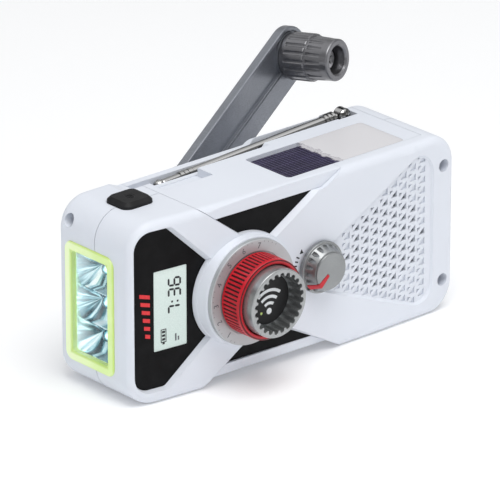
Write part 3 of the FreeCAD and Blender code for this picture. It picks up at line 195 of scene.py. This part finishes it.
# Columns: name, RGB, roughness, metallic, tint spread, tint scale, grain scale,
#          relief strength, relief depth (mm), edge radius (mm), specular[, y stretch]
OUTER_SURFACES = [
    ("case_white", (0.735, 0.765, 0.83), 0.42, 0, 0.012, 25, 6500, 0.10, 0.02, 0.3, 0.35),
    ("panel_black", (0.0060, 0.0060, 0.0066), 0.36, 0, 0.25, 180, 5200, 0.06, 0.03, 0.15, 0.08),
    ("silver", (0.37, 0.38, 0.385), 0.30, 0.75, 0.05, 120, 9000, 0.10, 0.03, 0.18, 0.5),
    ("silver_volume", (0.29, 0.30, 0.305), 0.32, 0.75, 0.05, 120, 9000, 0.10, 0.03, 0.18, 0.5),
    ("dial_silver", (0.47, 0.485, 0.50), 0.42, 0.35, 0.05, 90, 9000, 0.08, 0.03, 0.15, 0.5),
    ("red", (0.54, 0.010, 0.022), 0.33, 0, 0.10, 220, 6000, 0.06, 0.03, 0.12, 0.4),
    ("black_rubber", (0.012, 0.012, 0.013), 0.55, 0, 0.2, 300, 5200, 0.22, 0.04, 0.2, 0.2),
    ("cap_black", (0.010, 0.010, 0.011), 0.5, 0, 0.2, 300, 5200, 0.15, 0.03, 0.1, 0.3),
    ("crank_grey", (0.22, 0.232, 0.26), 0.30, 0.7, 0.06, 110, 9500, 0.10, 0.03, 0.2, 0.5),
    ("grip_grey", (0.20, 0.20, 0.212), 0.27, 0.8, 0.08, 160, 9500, 0.10, 0.03, 0.18, 0.5),
]
INNER_AND_INK_SURFACES = [
    ("steel", (0.52, 0.52, 0.53), 0.3, 1, 0.05, 300, 2500, 0.08, 0.03, 0.1, 0.5, 12),
    ("brass", (0.62, 0.45, 0.20), 0.35, 1, 0.08, 300, 4000, 0.1, 0.03, 0, 0.5),
    ("gear_acetal", (0.72, 0.70, 0.62), 0.45, 0, 0.03, 200, 5000, 0.06, 0.03, 0, 0.5),
    ("component_black", (0.03, 0.03, 0.033), 0.5, 0, 0.15, 250, 6000, 0.1, 0.03, 0, 0.5),
    ("dark_steel", (0.06, 0.06, 0.065), 0.42, 0.6, 0.1, 250, 5000, 0.08, 0.03, 0, 0.5),
    ("paper_cone", (0.035, 0.035, 0.037), 0.8, 0, 0.2, 400, 2500, 0.4, 0.08, 0, 0.5),
    ("battery_sleeve", (0.05, 0.13, 0.30), 0.3, 0, 0.08, 120, 3000, 0.05, 0.03, 0, 0.5),
    ("ink_dark", (0.016, 0.017, 0.02), 0.6, 0, 0.2, 900, 9000, 0.02, 0.03, 0, 0.5),
    ("ink_grey", (0.13, 0.135, 0.15), 0.6, 0, 0.15, 900, 9000, 0.02, 0.03, 0, 0.5),
    ("ink_white", (0.80, 0.82, 0.84), 0.5, 0, 0.03, 900, 9000, 0.02, 0.03, 0, 0.5),
    ("ink_red", (0.72, 0.02, 0.028), 0.45, 0, 0.06, 900, 9000, 0.02, 0.03, 0, 0.5),
]


# ---------------------------------------------------------------- special finishes
def chrome():
    """Polished metal whose colour is a painted reflection: dark and bright bands by the way it
    faces, as if between dark and bright panels.
    """
    mat = Material("chrome")
    normal_x, _, normal_z = mat.split(mat.add("NewGeometry").outputs["Normal"])
    upward = mat.linear(normal_z, slope=0.5, offset=0.5)
    upward = mat.linear(normal_x, slope=-0.0875, offset=upward, clamp=True)
    grain = mat.noise(3000.0)
    # painted reflection: the base colour runs through dark and bright bands by facing direction
    bands = [(0.0, 0.30), (0.30, 0.05), (0.52, 0.12), (0.60, 0.85),
             (0.66, 0.16), (0.82, 0.10), (0.90, 0.62), (1.0, 0.34)]
    mat.set({
        "Base Color": mat.ramp(upward, bands),
        "Metallic": 1.0,
        "Roughness": mat.fade(grain, low=0.07, high=0.13),
    })
    mat.bump(grain, strength=0.02, depth=0.03, edge=0.1)


def circuit_board():
    """Green brickwork of tracks with scattered pale pads."""
    mat = Material("circuit_board")
    tracks = mat.add("TexBrick", {
        "Vector": mat.mapped((320, 320, 320), rotation=(math.radians(90), 0, 0)),
        "Color1": (0.012, 0.12, 0.05),
        "Color2": (0.016, 0.16, 0.07),
        "Mortar": (0.05, 0.26, 0.12),
        "Mortar Size": 0.04,
    })
    pads = mat.calc("GREATER_THAN", mat.noise(350), 0.63)
    mat.set({
        "Base Color": mat.mix(pads, tracks.outputs[0], (0.6, 0.58, 0.5)),
        "Roughness": 0.35,
    })
    mat.bump(tracks.outputs[1], strength=0.2, depth=0.05)


def lcd_face():
    """Grey-green display, paler towards the top, with faint waves."""
    mat = Material("lcd_face")
    z = mat.split(mat.coords)[2]
    height = mat.linear(z, slope=22.0, offset=-0.25, clamp=True)
    base = mat.fade(height, (0.55, 0.655, 0.62), (0.66, 0.745, 0.71), start=0.0, end=1.0)
    wave = mat.add("TexWave", {"Scale": 900, "Vector": mat.coords}).outputs[1]
    grain = mat.noise(3000)
    mat.set({
        "Base Color": mat.mix(mat.calc("MULTIPLY", wave, 0.03), base, (0.45, 0.55, 0.52)),
        "Emission Color": mat.mix(1.0, base, (0.20, 0.20, 0.20), mode="MULTIPLY"),
        "Emission Strength": 0.7,
        "Roughness": mat.fade(grain, low=0.22, high=0.32),
    })
    mat.bump(grain, strength=0.02, depth=0.02)


def solar_cell():
    """Near-black violet cell, divided by fine pale lines across and along its length."""
    mat = Material("solar_cell")
    x, y, _ = mat.split(mat.coords)

    def stripes(position, pitch, share):
        """1 on the given share of every pitch (mm)."""
        phase = mat.calc("FRACT", mat.calc("MULTIPLY", position, 1 / MM / pitch))
        return mat.calc("LESS_THAN", phase, share)

    divisions = stripes(x, pitch=1.55, share=0.10)
    cross_lines = stripes(y, pitch=5.9, share=0.035)
    colour = mat.fade(mat.noise(160, detail=3), (0.007, 0.006, 0.020), (0.016, 0.012, 0.045))
    colour = mat.mix(mat.calc("MULTIPLY", divisions, 0.75), colour, (0.22, 0.20, 0.33))
    colour = mat.mix(mat.calc("MULTIPLY", cross_lines, 0.45), colour, (0.16, 0.14, 0.26))
    mat.set({"Base Color": colour, "Roughness": 0.4, "Specular IOR Level": 0.10})
    mat.bump(divisions, strength=0.2, depth=0.03)


def solar_cover():
    """Clear window whose +X part is painted pale at a low angle: a painted reflection of the
    sky.
    """
    mat = Material("solar_cover")
    x = mat.split(mat.coords)[0]
    wander = mat.noise(260, detail=4, roughness=0.7, vector=mat.mapped((1, 1, 1)))
    # painted reflection: a pale area over the +X part with a wandering edge, stronger at low
    # angles
    painted_reflection_part = mat.rise(mat.linear(wander, slope=0.0065, offset=x), slope=900.0, start=0.0268)
    low_angle = mat.fade(mat.facing(), low=0.0, high=1.0, start=0.15, end=0.45)
    mirror = mat.calc("MULTIPLY", painted_reflection_part, low_angle)
    mat.set({
        "Base Color": mat.mix(painted_reflection_part, (0.30, 0.26, 0.34), (0.70, 0.69, 0.71)),
        "Alpha": mat.linear(mirror, slope=0.88, offset=0.02),
        "Roughness": 0.25,
        "Specular IOR Level": 0.25,
    })
    mat.bump(mat.noise(900), strength=0.03, depth=0.02)


def glow_ring():
    """Luminous green band, paler to the back and deeper in colour along its two edges."""
    mat = Material("glow_ring")
    _, y, z = mat.split(mat.coords)
    back = mat.linear(y, slope=55.0, offset=0.15, clamp=True)
    colour = mat.mix(back, (0.56, 0.74, 0.24), (0.74, 0.84, 0.50))
    mottle = mat.calc("MULTIPLY", mat.noise(110, detail=3), 0.55)
    colour = mat.mix(mottle, colour, (0.80, 0.88, 0.60))

    def inset(position, centre, half):
        """Distance in from the outer border along one axis."""
        offset = mat.calc("ABSOLUTE", mat.calc("SUBTRACT", position, centre * MM))
        return mat.calc("SUBTRACT", half * MM, offset)

    border = mat.calc("MINIMUM", inset(y, RING_Y, RING_HALF_Y), inset(z, RING_Z, RING_HALF_Z))
    half_band = RING_HALF_BAND * MM
    from_crown = mat.calc("ABSOLUTE", mat.calc("SUBTRACT", border, half_band))
    from_crown = mat.calc("MULTIPLY", from_crown, 1 / half_band)
    lip = mat.linear(from_crown, slope=2.2, offset=-1.15, clamp=True)
    colour = mat.mix(mat.calc("MULTIPLY", lip, 0.62), colour, (0.40, 0.55, 0.06))
    mat.set({
        "Base Color": colour,
        "Emission Color": colour,
        "Emission Strength": 0.22,
        "Subsurface Weight": 0.25,
        "Subsurface Radius": (0.002, 0.003, 0.001),
        "Subsurface Scale": 0.5,
        "Roughness": 0.3,
    })
    mat.bump(mat.noise(2500), strength=0.05, depth=0.03, edge=0.3)


def flashlight_lens():
    mat = Material("flashlight_lens")
    haze = mat.noise(170, detail=3, vector=mat.mapped((1, 1, 0.35)))
    mat.set({
        "Alpha": mat.fade(haze, low=0.03, high=0.16, start=0.42, end=0.72),
        "Base Color": (0.86, 0.95, 0.98),
        "Emission Color": (0.62, 0.90, 1.0),
        "Emission Strength": 0.10,
        "Roughness": 0.08,
    })
    mat.bump(haze, strength=0.05, depth=0.05)


def led_reflector():
    """Plated cups coloured with painted light and painted shade: bright and dark streaks of
    painted reflection run out from each lamp, paling to a painted cool glow at the back.
    """
    lamp_y = (RING_Y + 4.2) * MM
    half_pitch = 0.0063          # the lamps repeat along z
    back_start = (RING_Y + 5.5) * MM
    mat = Material("led_reflector")
    _, y, z = mat.split(mat.coords)
    lamp_dy = mat.calc("SUBTRACT", y, lamp_y)
    lamp_dz = mat.calc("SUBTRACT", z, RING_Z * MM)
    from_lamp = mat.combine(lamp_dy, mat.calc("WRAP", lamp_dz, half_pitch, -half_pitch))
    radius = mat.add("VectorMath", {0: from_lamp}, operation="LENGTH").outputs["Value"]
    direction = mat.add("VectorMath", {0: from_lamp}, operation="NORMALIZE").outputs[0]
    around = mat.add("VectorMath", {0: direction, "Scale": 2.6}, operation="SCALE").outputs[0]
    drift = mat.linear(z, slope=90.0, offset=mat.calc("MULTIPLY", radius, 140.0))
    rays = mat.add("VectorMath", {0: around, 1: mat.combine(z=drift)}, operation="ADD")
    painted_light_streaks = mat.noise(1.0, detail=3, roughness=0.6, vector=rays.outputs[0])
    # painted reflection and painted shade: streaks from near black to white round each lamp
    colour = mat.ramp(painted_light_streaks, [(0.42, (0.003, 0.022, 0.035)), (0.50, (0.04, 0.18, 0.23)),
                                (0.57, (0.45, 0.70, 0.77)), (0.66, (0.95, 1.0, 1.0))])
    # painted glow: paler towards the back of the cups
    back = mat.rise(y, slope=170.0, start=back_start)
    colour = mat.mix(mat.calc("MULTIPLY", back, 0.85), colour, (0.74, 0.92, 0.97))
    # painted light: the streaks fade to a mid cyan away from each lamp
    far = mat.rise(radius, slope=420.0, start=0.0068)
    colour = mat.mix(mat.calc("MULTIPLY", far, 0.45), colour, (0.45, 0.68, 0.75))
    # painted glow: the cups emit light of their own, though they only reflect the lamps
    mat.set({
        "Base Color": colour,
        "Metallic": 0.6,
        "Roughness": 0.25,
        "Emission Color": colour,
        "Emission Strength": mat.linear(back, slope=0.55, offset=0.36),
    })
    mat.bump(painted_light_streaks, strength=0.35, depth=0.3)


def led_epoxy():
    """Lamp domes: a bright core inside a dark teal rim."""
    mat = Material("led_epoxy")
    ripple = mat.noise(420, detail=3)
    centred = mat.calc("SUBTRACT", ripple, 0.5)
    rim = mat.linear(centred, slope=0.9, offset=mat.facing(), clamp=True)
    colour = mat.ramp(rim, [(0.10, (0.90, 1.0, 1.0)), (0.26, (0.16, 0.50, 0.62)),
                            (0.45, (0.012, 0.07, 0.10)), (0.85, (0.004, 0.03, 0.05))])
    mat.set({
        "Base Color": colour,
        "Emission Color": colour,
        "Emission Strength": 0.7,
        "Roughness": 0.06,
        "Coat Weight": 1.0,
    })
    mat.bump(ripple, strength=0.3, depth=0.3)


def red_ribbed():
    """Moulded red ring round the tuning knob, with painted shade darkening its groove bottoms.
    """
    groove_radius, front_radius = 0.01443, 0.0141
    mat = Material("red_ribbed")
    x, _, z = mat.split(mat.coords)
    x = mat.calc("SUBTRACT", x, TUNING_X * MM)
    z = mat.calc("SUBTRACT", z, TUNING_Z * MM)
    squares = mat.calc("ADD", mat.calc("MULTIPLY", x, x), mat.calc("MULTIPLY", z, z))
    radius = mat.calc("SQRT", squares)
    # painted shade: below the groove radius the colour goes near black
    crest = mat.rise(radius, slope=4200.0, start=groove_radius)
    lit = mat.calc("MAXIMUM", crest, mat.calc("LESS_THAN", radius, front_radius))
    top = mat.fade(mat.noise(220, detail=3), (0.50, 0.009, 0.020), (0.60, 0.013, 0.026),
                   start=0.35, end=0.65)
    mat.set({
        "Base Color": mat.mix(lit, (0.035, 0.002, 0.004), top),
        "Roughness": 0.33,
        "Specular IOR Level": 0.4,
    })
    mat.bump(mat.noise(6000), strength=0.06, depth=0.03, edge=0.08)


for row in OUTER_SURFACES:
    surface(*row)
chrome()
for row in INNER_AND_INK_SURFACES:
    surface(*row)
for build in (circuit_board, lcd_face, solar_cell, solar_cover, glow_ring, flashlight_lens,
              led_reflector, led_epoxy, red_ribbed):
    build()

# Material -> CAD pieces; pieces not listed are component_black
FINISHES = {
    "case_white": "front_shell rear_shell top_deck bottom_sill",
    "panel_black": "display_panel upper_inlay lower_inlay",
    "lcd_face": "lcd_module",
    "dial_silver": "dial_ring",
    "silver": "tuning_knob",
    "silver_volume": "volume_knob",
    "red": "volume_pointer",
    "red_ribbed": "band_ring",
    "cap_black": "tuning_cap",
    "steel": "tuning_shaft volume_shaft case_screws usb_port charge_port crank_shaft "
             "fold_pin knob_axle knob_screw idler_pin",
    "circuit_board": "main_board led_board port_board",
    "dark_steel": "speaker_frame speaker_magnet generator_body",
    "paper_cone": "speaker_cone",
    "battery_sleeve": "battery_pack",
    "solar_cell": "solar_cell",
    "solar_cover": "solar_cover",
    "glow_ring": "glow_ring",
    "flashlight_lens": "flashlight_lens",
    "led_reflector": "led_reflector",
    "led_epoxy": "flashlight_leds",
    "black_rubber": "light_button port_cover",
    "chrome": "antenna_bracket antenna_swivel antenna_pin antenna_tube_1 antenna_tube_2 "
              "antenna_tube_3 antenna_tip",
    "crank_grey": "crank_hub crank_arm",
    "grip_grey": "crank_knob",
    "brass": "crank_bushing",
    "gear_acetal": "drive_gear idler_gear generator_pinion",
}
FINISH_OF = {part: finish for finish, parts in FINISHES.items() for part in parts.split()}


def finish_cad_pieces():
    """Gives each piece its material, and smooth shading where it has no own normals."""
    for name, piece in NODES.items():
        mesh = piece.data
        mesh.materials.clear()
        mesh.materials.append(MATERIALS[FINISH_OF.get(name, "component_black")])
        if not mesh.has_custom_normals:
            mesh.polygons.foreach_set("use_smooth", [True] * len(mesh.polygons))
            weld = piece.modifiers.new("weld", "WELD")
            weld.merge_threshold = 2e-6
            split = piece.modifiers.new("edges", "EDGE_SPLIT")
            split.split_angle = math.radians(28)
            split.use_edge_sharp = False


finish_cad_pieces()


# ---------------------------------------------------------------- solids from outlines
def link(name, data):
    piece = bpy.data.objects.new(name, data)
    bpy.context.scene.collection.objects.link(piece)
    return piece


def prism(name, loops, place, thickness, material, body="root", bevel=0.0):
    """Solid from closed (u, v) loops; place(u, v, t) gives mm, t from foot to top."""
    verts, faces = [], []
    for loop in loops:
        n, first = len(loop), len(verts)
        verts += [place(u, v, t) for t in (0.0, thickness) for u, v in loop]
        faces.append(list(range(first, first + n))[::-1])
        faces.append(list(range(first + n, first + 2 * n)))
        for i in range(n):
            a, b = first + i, first + (i + 1) % n
            faces.append([a, b, n + b, n + a])
    mesh = bpy.data.meshes.new(name)
    mesh.from_pydata([Vector(v) * MM for v in verts], [], faces)
    mesh.update()
    piece = link(name, mesh)
    bm = bmesh.new()
    bm.from_mesh(mesh)
    bmesh.ops.recalc_face_normals(bm, faces=bm.faces)
    bm.to_mesh(mesh)
    bm.free()
    mesh.materials.append(MATERIALS[material])
    if bevel:
        modifier = piece.modifiers.new("bevel", "BEVEL")
        modifier.width = bevel * MM
        modifier.segments = 2
        modifier.limit_method = "ANGLE"
    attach(piece, body)


def polar(degrees):
    angle = math.radians(degrees)
    return math.cos(angle), math.sin(angle)


def rect(u0, u1, v0, v1):
    return [(u0, v0), (u1, v0), (u1, v1), (u0, v1)]


def arc_band(cx, cy, inner, outer, start, end, steps):
    """Ring sector between two angles in degrees."""
    rays = [polar(start + (end - start) * i / steps) for i in range(steps + 1)]
    return ([(cx + outer * c, cy + outer * s) for c, s in rays]
            + [(cx + inner * c, cy + inner * s) for c, s in rays[::-1]])


def disc(cx, cy, radius, steps=32):
    angles = [2 * math.pi * i / steps for i in range(steps)]
    return [(cx + radius * math.cos(a), cy + radius * math.sin(a)) for a in angles]


def spoke(cx, cz, degrees, inner, outer, half_width):
    """Radial stroke."""
    c, s = polar(degrees)
    corners = ((inner, half_width), (inner, -half_width),
               (outer, -half_width), (outer, half_width))
    return [(cx + c * r - s * w, cz + s * r + c * w) for r, w in corners]


def on_display(depth):
    """Flat plane tangent to the bow at DISPLAY_X, set back by depth."""
    slope = math.atan(2 * BOW_CURVATURE * (DISPLAY_X - BOW_X))
    c, s = math.cos(slope), math.sin(slope)

    def place(x, z, t):
        along, back = (x - DISPLAY_X) / c, depth - t
        return (DISPLAY_X + c * along - s * back, bow(DISPLAY_X) + s * along + c * back, z)
    return place


def on_plane(y):
    """Upright plane facing -Y."""
    return lambda x, z, t: (x, y - t, z)


def on_bow(x, z, t):
    """Case front, with a hair of clearance."""
    return (x, bow(x) - 0.005 - t, z)


PRINT = 0.05        # thickness of printed marks
CAP_PRINT = 0.06

# ---------------------------------------------------------------- display
LCD_DEPTH, PANEL_DEPTH = 2.29, 2.015
DIGIT_FOOT_X, DIGIT_HEAD_X, DIGIT_WIDTH = -50.8, -56.3, 3.5
DIGIT_HEIGHT = DIGIT_FOOT_X - DIGIT_HEAD_X
STROKE, STROKE_GAP, SLANT = 0.74, 0.10, 0.5


def segment(start, end):
    """Long hexagon between two points, short of each by the gap."""
    length = math.dist(start, end)
    dx, dy = (end[0] - start[0]) / length, (end[1] - start[1]) / length
    near, far, half = STROKE_GAP, length - STROKE_GAP, STROKE / 2
    corners = ((near, 0), (near + half, half), (far - half, half),
               (far, 0), (far - half, -half), (near + half, -half))
    return [(start[0] + dx * a - dy * w, start[1] + dy * a + dx * w) for a, w in corners]


def digit(z0, lit):
    """Seven-segment figure on its side: reads towards +Z, head towards -X."""
    low, high = STROKE / 2, DIGIT_HEIGHT - STROKE / 2
    left, right, middle = STROKE / 2, DIGIT_WIDTH - STROKE / 2, DIGIT_HEIGHT / 2
    ends = {
        "a": ((left, high), (right, high)),
        "b": ((right, middle), (right, high)),
        "c": ((right, low), (right, middle)),
        "d": ((left, low), (right, low)),
        "e": ((left, low), (left, middle)),
        "f": ((left, middle), (left, high)),
        "g": ((left, middle), (right, middle)),
    }
    return [[(DIGIT_FOOT_X - v, z0 + u + SLANT * v / DIGIT_HEIGHT) for u, v in segment(*ends[k])]
            for k in lit]


def display():
    """Time, battery gauge, two small bars, and the red strength bars beside them."""
    on_lcd = on_display(LCD_DEPTH)
    time = digit(41.2, "acdefg") + digit(37.0, "abcdg") + digit(30.7, "abc")    # 6, 3, 7
    time += [rect(-52.6, -51.9, 35.3, 36.0), rect(-54.9, -54.2, 35.5, 36.2)]    # colon
    prism("display_figures", time, on_lcd, PRINT, "ink_dark")

    x0, x1, z0, z1 = -59.3, -57.0, 21.4, 26.4
    gauge = [
        rect(x0, x1, z0, z0 + 0.3),
        rect(x0, x1, z1 - 0.3, z1),
        rect(x0, x0 + 0.28, z0, z1),
        rect(x1 - 0.28, x1, z0, z1),
        rect(-58.6, -57.7, 20.7, z0),       # terminal
    ]
    for i in range(3):
        z = 22.15 + 1.38 * i
        gauge.append(rect(x0 + 0.5, x1 - 0.5, z, z + 0.85))
    prism("display_gauge", gauge, on_lcd, PRINT, "ink_dark")

    small_bars = [rect(-53.4, -52.8, 20.9, 23.6), rect(-52.3, -51.7, 20.9, 22.4)]
    prism("display_bar", small_bars, on_lcd, PRINT, "ink_grey")

    foot_x, width, lean = -63.9, 1.45, 0.30
    strength = []
    for i in range(6):
        z = 24.3 + 2.95 * i
        height = 2.0 + 0.46 * i
        head_x, shift = foot_x - height, lean * height
        strength.append([(foot_x, z), (foot_x, z + width),
                         (head_x, z + width + shift), (head_x, z + shift)])
    prism("panel_bars", strength, on_display(PANEL_DEPTH), PRINT, "ink_red")


display()

# ---------------------------------------------------------------- tuning dial
FIGURE_ANGLES = {"1": 229, "2": 204.5, "3": 182, "4": 156, "5": 130, "6": 105, "7": 81}
FIGURE_RADIUS, FIGURE_SIZE, FIGURE_Y = 17.0, 3.1, -27.02
CAP_Y = -35.19
MAST_Z = TUNING_Z - 4.4


def frame_matrix(x_axis, y_axis, z_axis, origin):
    matrix = Matrix((x_axis, y_axis, z_axis)).transposed().to_4x4()
    matrix.translation = origin
    return matrix


def dial_figure(text, degrees):
    """Number on the dial, its top outwards."""
    name = "dial_figure_" + text
    curve = bpy.data.curves.new(name + "_t", "FONT")
    curve.body = text
    curve.size = FIGURE_SIZE * MM
    curve.align_x = "CENTER"
    curve.align_y = "CENTER"
    curve.extrude = PRINT / 2 * MM
    curve.resolution_u = 6
    source = link(name + "_t", curve)
    bpy.context.view_layer.update()
    depsgraph = bpy.context.evaluated_depsgraph_get()
    mesh = bpy.data.meshes.new_from_object(source.evaluated_get(depsgraph))
    mesh.name = name
    c, s = polar(degrees)
    up, normal = Vector((c, 0, s)), Vector((0, -1, 0))
    centre = Vector((TUNING_X + FIGURE_RADIUS * c, FIGURE_Y, TUNING_Z + FIGURE_RADIUS * s)) * MM
    mesh.transform(frame_matrix(up.cross(normal), up, normal, centre))
    bpy.data.objects.remove(source)
    bpy.data.curves.remove(curve)
    mesh.materials.clear()
    mesh.materials.append(MATERIALS["ink_grey"])
    piece = link(name, mesh)
    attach(piece, "root")


for text, degrees in FIGURE_ANGLES.items():
    dial_figure(text, degrees)

# Fine divisions between the numbers
ticks = [spoke(TUNING_X, TUNING_Z, a, inner=18.3, outer=18.85, half_width=0.07)
         for a in range(56, 246, 6)
         if min(abs(a - v) for v in FIGURE_ANGLES.values()) >= 5.5]
prism("dial_ticks", ticks, on_plane(-26.995), 0.04, "ink_grey")

# Mark on the knob's cap: a dot with three waves over it, and a glowing dot to the left
waves = [arc_band(TUNING_X, MAST_Z, r - 0.55, r + 0.55, 50, 130, steps=20)
         for r in (3.0, 5.4, 7.8)]
prism("cap_mark", [disc(TUNING_X, MAST_Z, 1.15)] + waves, on_plane(CAP_Y), CAP_PRINT,
      "ink_white", body="tuning")
prism("cap_dot", [disc(TUNING_X - 3.6, MAST_Z, 0.5, steps=20)], on_plane(CAP_Y), CAP_PRINT,
      "glow_ring", body="tuning")


# ---------------------------------------------------------------- volume scale
def volume_scale():
    """Strokes that grow clockwise, then a triangle."""
    marks = [spoke(VOLUME_X, VOLUME_Z, a, inner=10.5, outer=10.9 + 0.16 * i, half_width=0.24)
             for i, a in enumerate(range(206, 146, -8))]
    c, s = polar(137)
    x, z = VOLUME_X + 11.1 * c, VOLUME_Z + 11.1 * s
    marks.append([(x - 0.85, z - 0.7), (x + 0.85, z - 0.7), (x, z + 0.95)])
    prism("volume_scale", marks, on_bow, PRINT, "ink_dark")


volume_scale()

# ---------------------------------------------------------------- light button
DISH_CENTRE_Z, DISH_RADIUS = 75.85, 6.0


def on_dish(x, y, t):
    """Spherical dish of the button, starting 0.03 below its surface."""
    squared = (x - BUTTON_X) ** 2 + (y - BUTTON_Y) ** 2
    return (x, y, DISH_CENTRE_Z - math.sqrt(DISH_RADIUS ** 2 - squared) - 0.03 + t)


# Open ring with a stem through its gap
sign = [arc_band(BUTTON_X, BUTTON_Y, 0.95, 1.45, -60, 240, steps=28),
        rect(BUTTON_X - 0.22, BUTTON_X + 0.22, BUTTON_Y - 1.9, BUTTON_Y - 0.2)]
prism("button_sign", sign, on_dish, 0.18, "black_rubber",
      body="light_button", bevel=0.04)


# ---------------------------------------------------------------- stage (metres)
def floor():
    mat = Material("floor")
    tint = mat.fade(mat.noise(3), (0.955, 0.955, 0.96), (0.975, 0.975, 0.975))
    mat.set({
        "Base Color": tint,
        "Roughness": 0.6,
        "Specular IOR Level": 0.2,
        "Emission Color": (1, 1, 1),
        "Emission Strength": 0.10,
    })
    half = 6.0
    corners = [(-half, -half, 0), (half, -half, 0), (half, half, 0), (-half, half, 0)]
    mesh = bpy.data.meshes.new("floor")
    mesh.from_pydata(corners, [], [(0, 1, 2, 3)])
    mesh.materials.append(MATERIALS["floor"])
    plane = link("floor", mesh)
    plane.location.z = -0.00005


def studio_world():
    """White to the camera, banded in reflections, soft cool light elsewhere."""
    world = bpy.data.worlds.new("studio")
    bpy.context.scene.world = world
    world.use_nodes = True
    graph = Graph(world.node_tree)

    def background(colour, strength):
        return graph.add("Background", {"Color": colour, "Strength": strength}).outputs[0]

    incoming_z = graph.split(graph.add("NewGeometry").outputs["Incoming"])[2]
    height = graph.linear(incoming_z, slope=-0.5, offset=0.5)
    bands = graph.ramp(height, [(0.0, 0.35), (0.47, 0.55), (0.52, 0.12), (0.60, 0.75),
                                (0.74, 0.20), (0.86, 1.0), (1.0, 0.9)])
    ray = graph.add("LightPath").outputs
    ambient = background((0.95, 0.97, 1.0), strength=0.49)
    reflected = background(bands, strength=1.0)
    seen = background((1, 1, 1), strength=1.0)
    lit = graph.add("MixShader", {0: ray["Is Glossy Ray"], 1: ambient, 2: reflected})
    view = graph.add("MixShader", {0: ray["Is Camera Ray"], 1: lit.outputs[0], 2: seen})
    graph.add("OutputWorld", {0: view.outputs[0]})


def aim(piece, direction):
    piece.rotation_euler = Vector(direction).to_track_quat("-Z", "Y").to_euler()


def area(name, location, target, size, power, colour):
    light = bpy.data.lights.new(name, "AREA")
    light.shape = "RECTANGLE"
    light.size, light.size_y = size
    light.energy = power
    light.color = colour
    lamp = link(name, light)
    lamp.location = location
    aim(lamp, Vector(target) - Vector(location))


def flashlight_beam():
    """The flashlight's own light on the floor."""
    light = bpy.data.lights.new("beam", "SPOT")
    light.energy = 0.10
    light.color = (0.45, 0.85, 1.0)
    light.spot_size = math.radians(120)
    light.spot_blend = 1.0
    light.shadow_soft_size = 0.012
    lamp = link("beam", light)
    lamp.location = (-0.0765, RING_Y * MM, RING_Z * MM)
    aim(lamp, (-1, -0.05, -0.12))


def camera():
    data = bpy.data.cameras.new("camera")
    data.lens = 371.0
    data.sensor_width = 36.0
    data.clip_start, data.clip_end = 0.1, 20.0
    holder = link("camera", data)
    right = Vector((0.75058, -0.66078, 0.0))
    up = Vector((0.25286, 0.28722, 0.92388))
    forward = Vector((0.61048, 0.69345, -0.38267))
    place = Vector((-1.1132, -1.2613, 0.7339))
    holder.matrix_world = frame_matrix(right, up, -forward, place)
    bpy.context.scene.camera = holder


floor()
studio_world()
# Columns: name, location, target, (width, height), power (W), colour
for row in (
    ("key_top", (-0.12, -0.35, 1.15), (0, 0, 0.03), (0.9, 0.9), 9.8, (1.0, 0.995, 0.98)),
    ("front_left", (-0.95, -0.85, 0.45), (0, 0, 0.03), (0.8, 0.6), 0.75, (0.97, 0.985, 1.0)),
    ("front_right", (0.9, -0.9, 0.55), (0.02, 0, 0.03), (0.5, 0.7), 0.78, (1.0, 1.0, 1.0)),
):
    area(*row)
flashlight_beam()
camera()

view_settings = bpy.context.scene.view_settings
view_settings.view_transform = "Standard"
view_settings.look = "None"
view_settings.exposure = 0.0
view_settings.gamma = 1.0
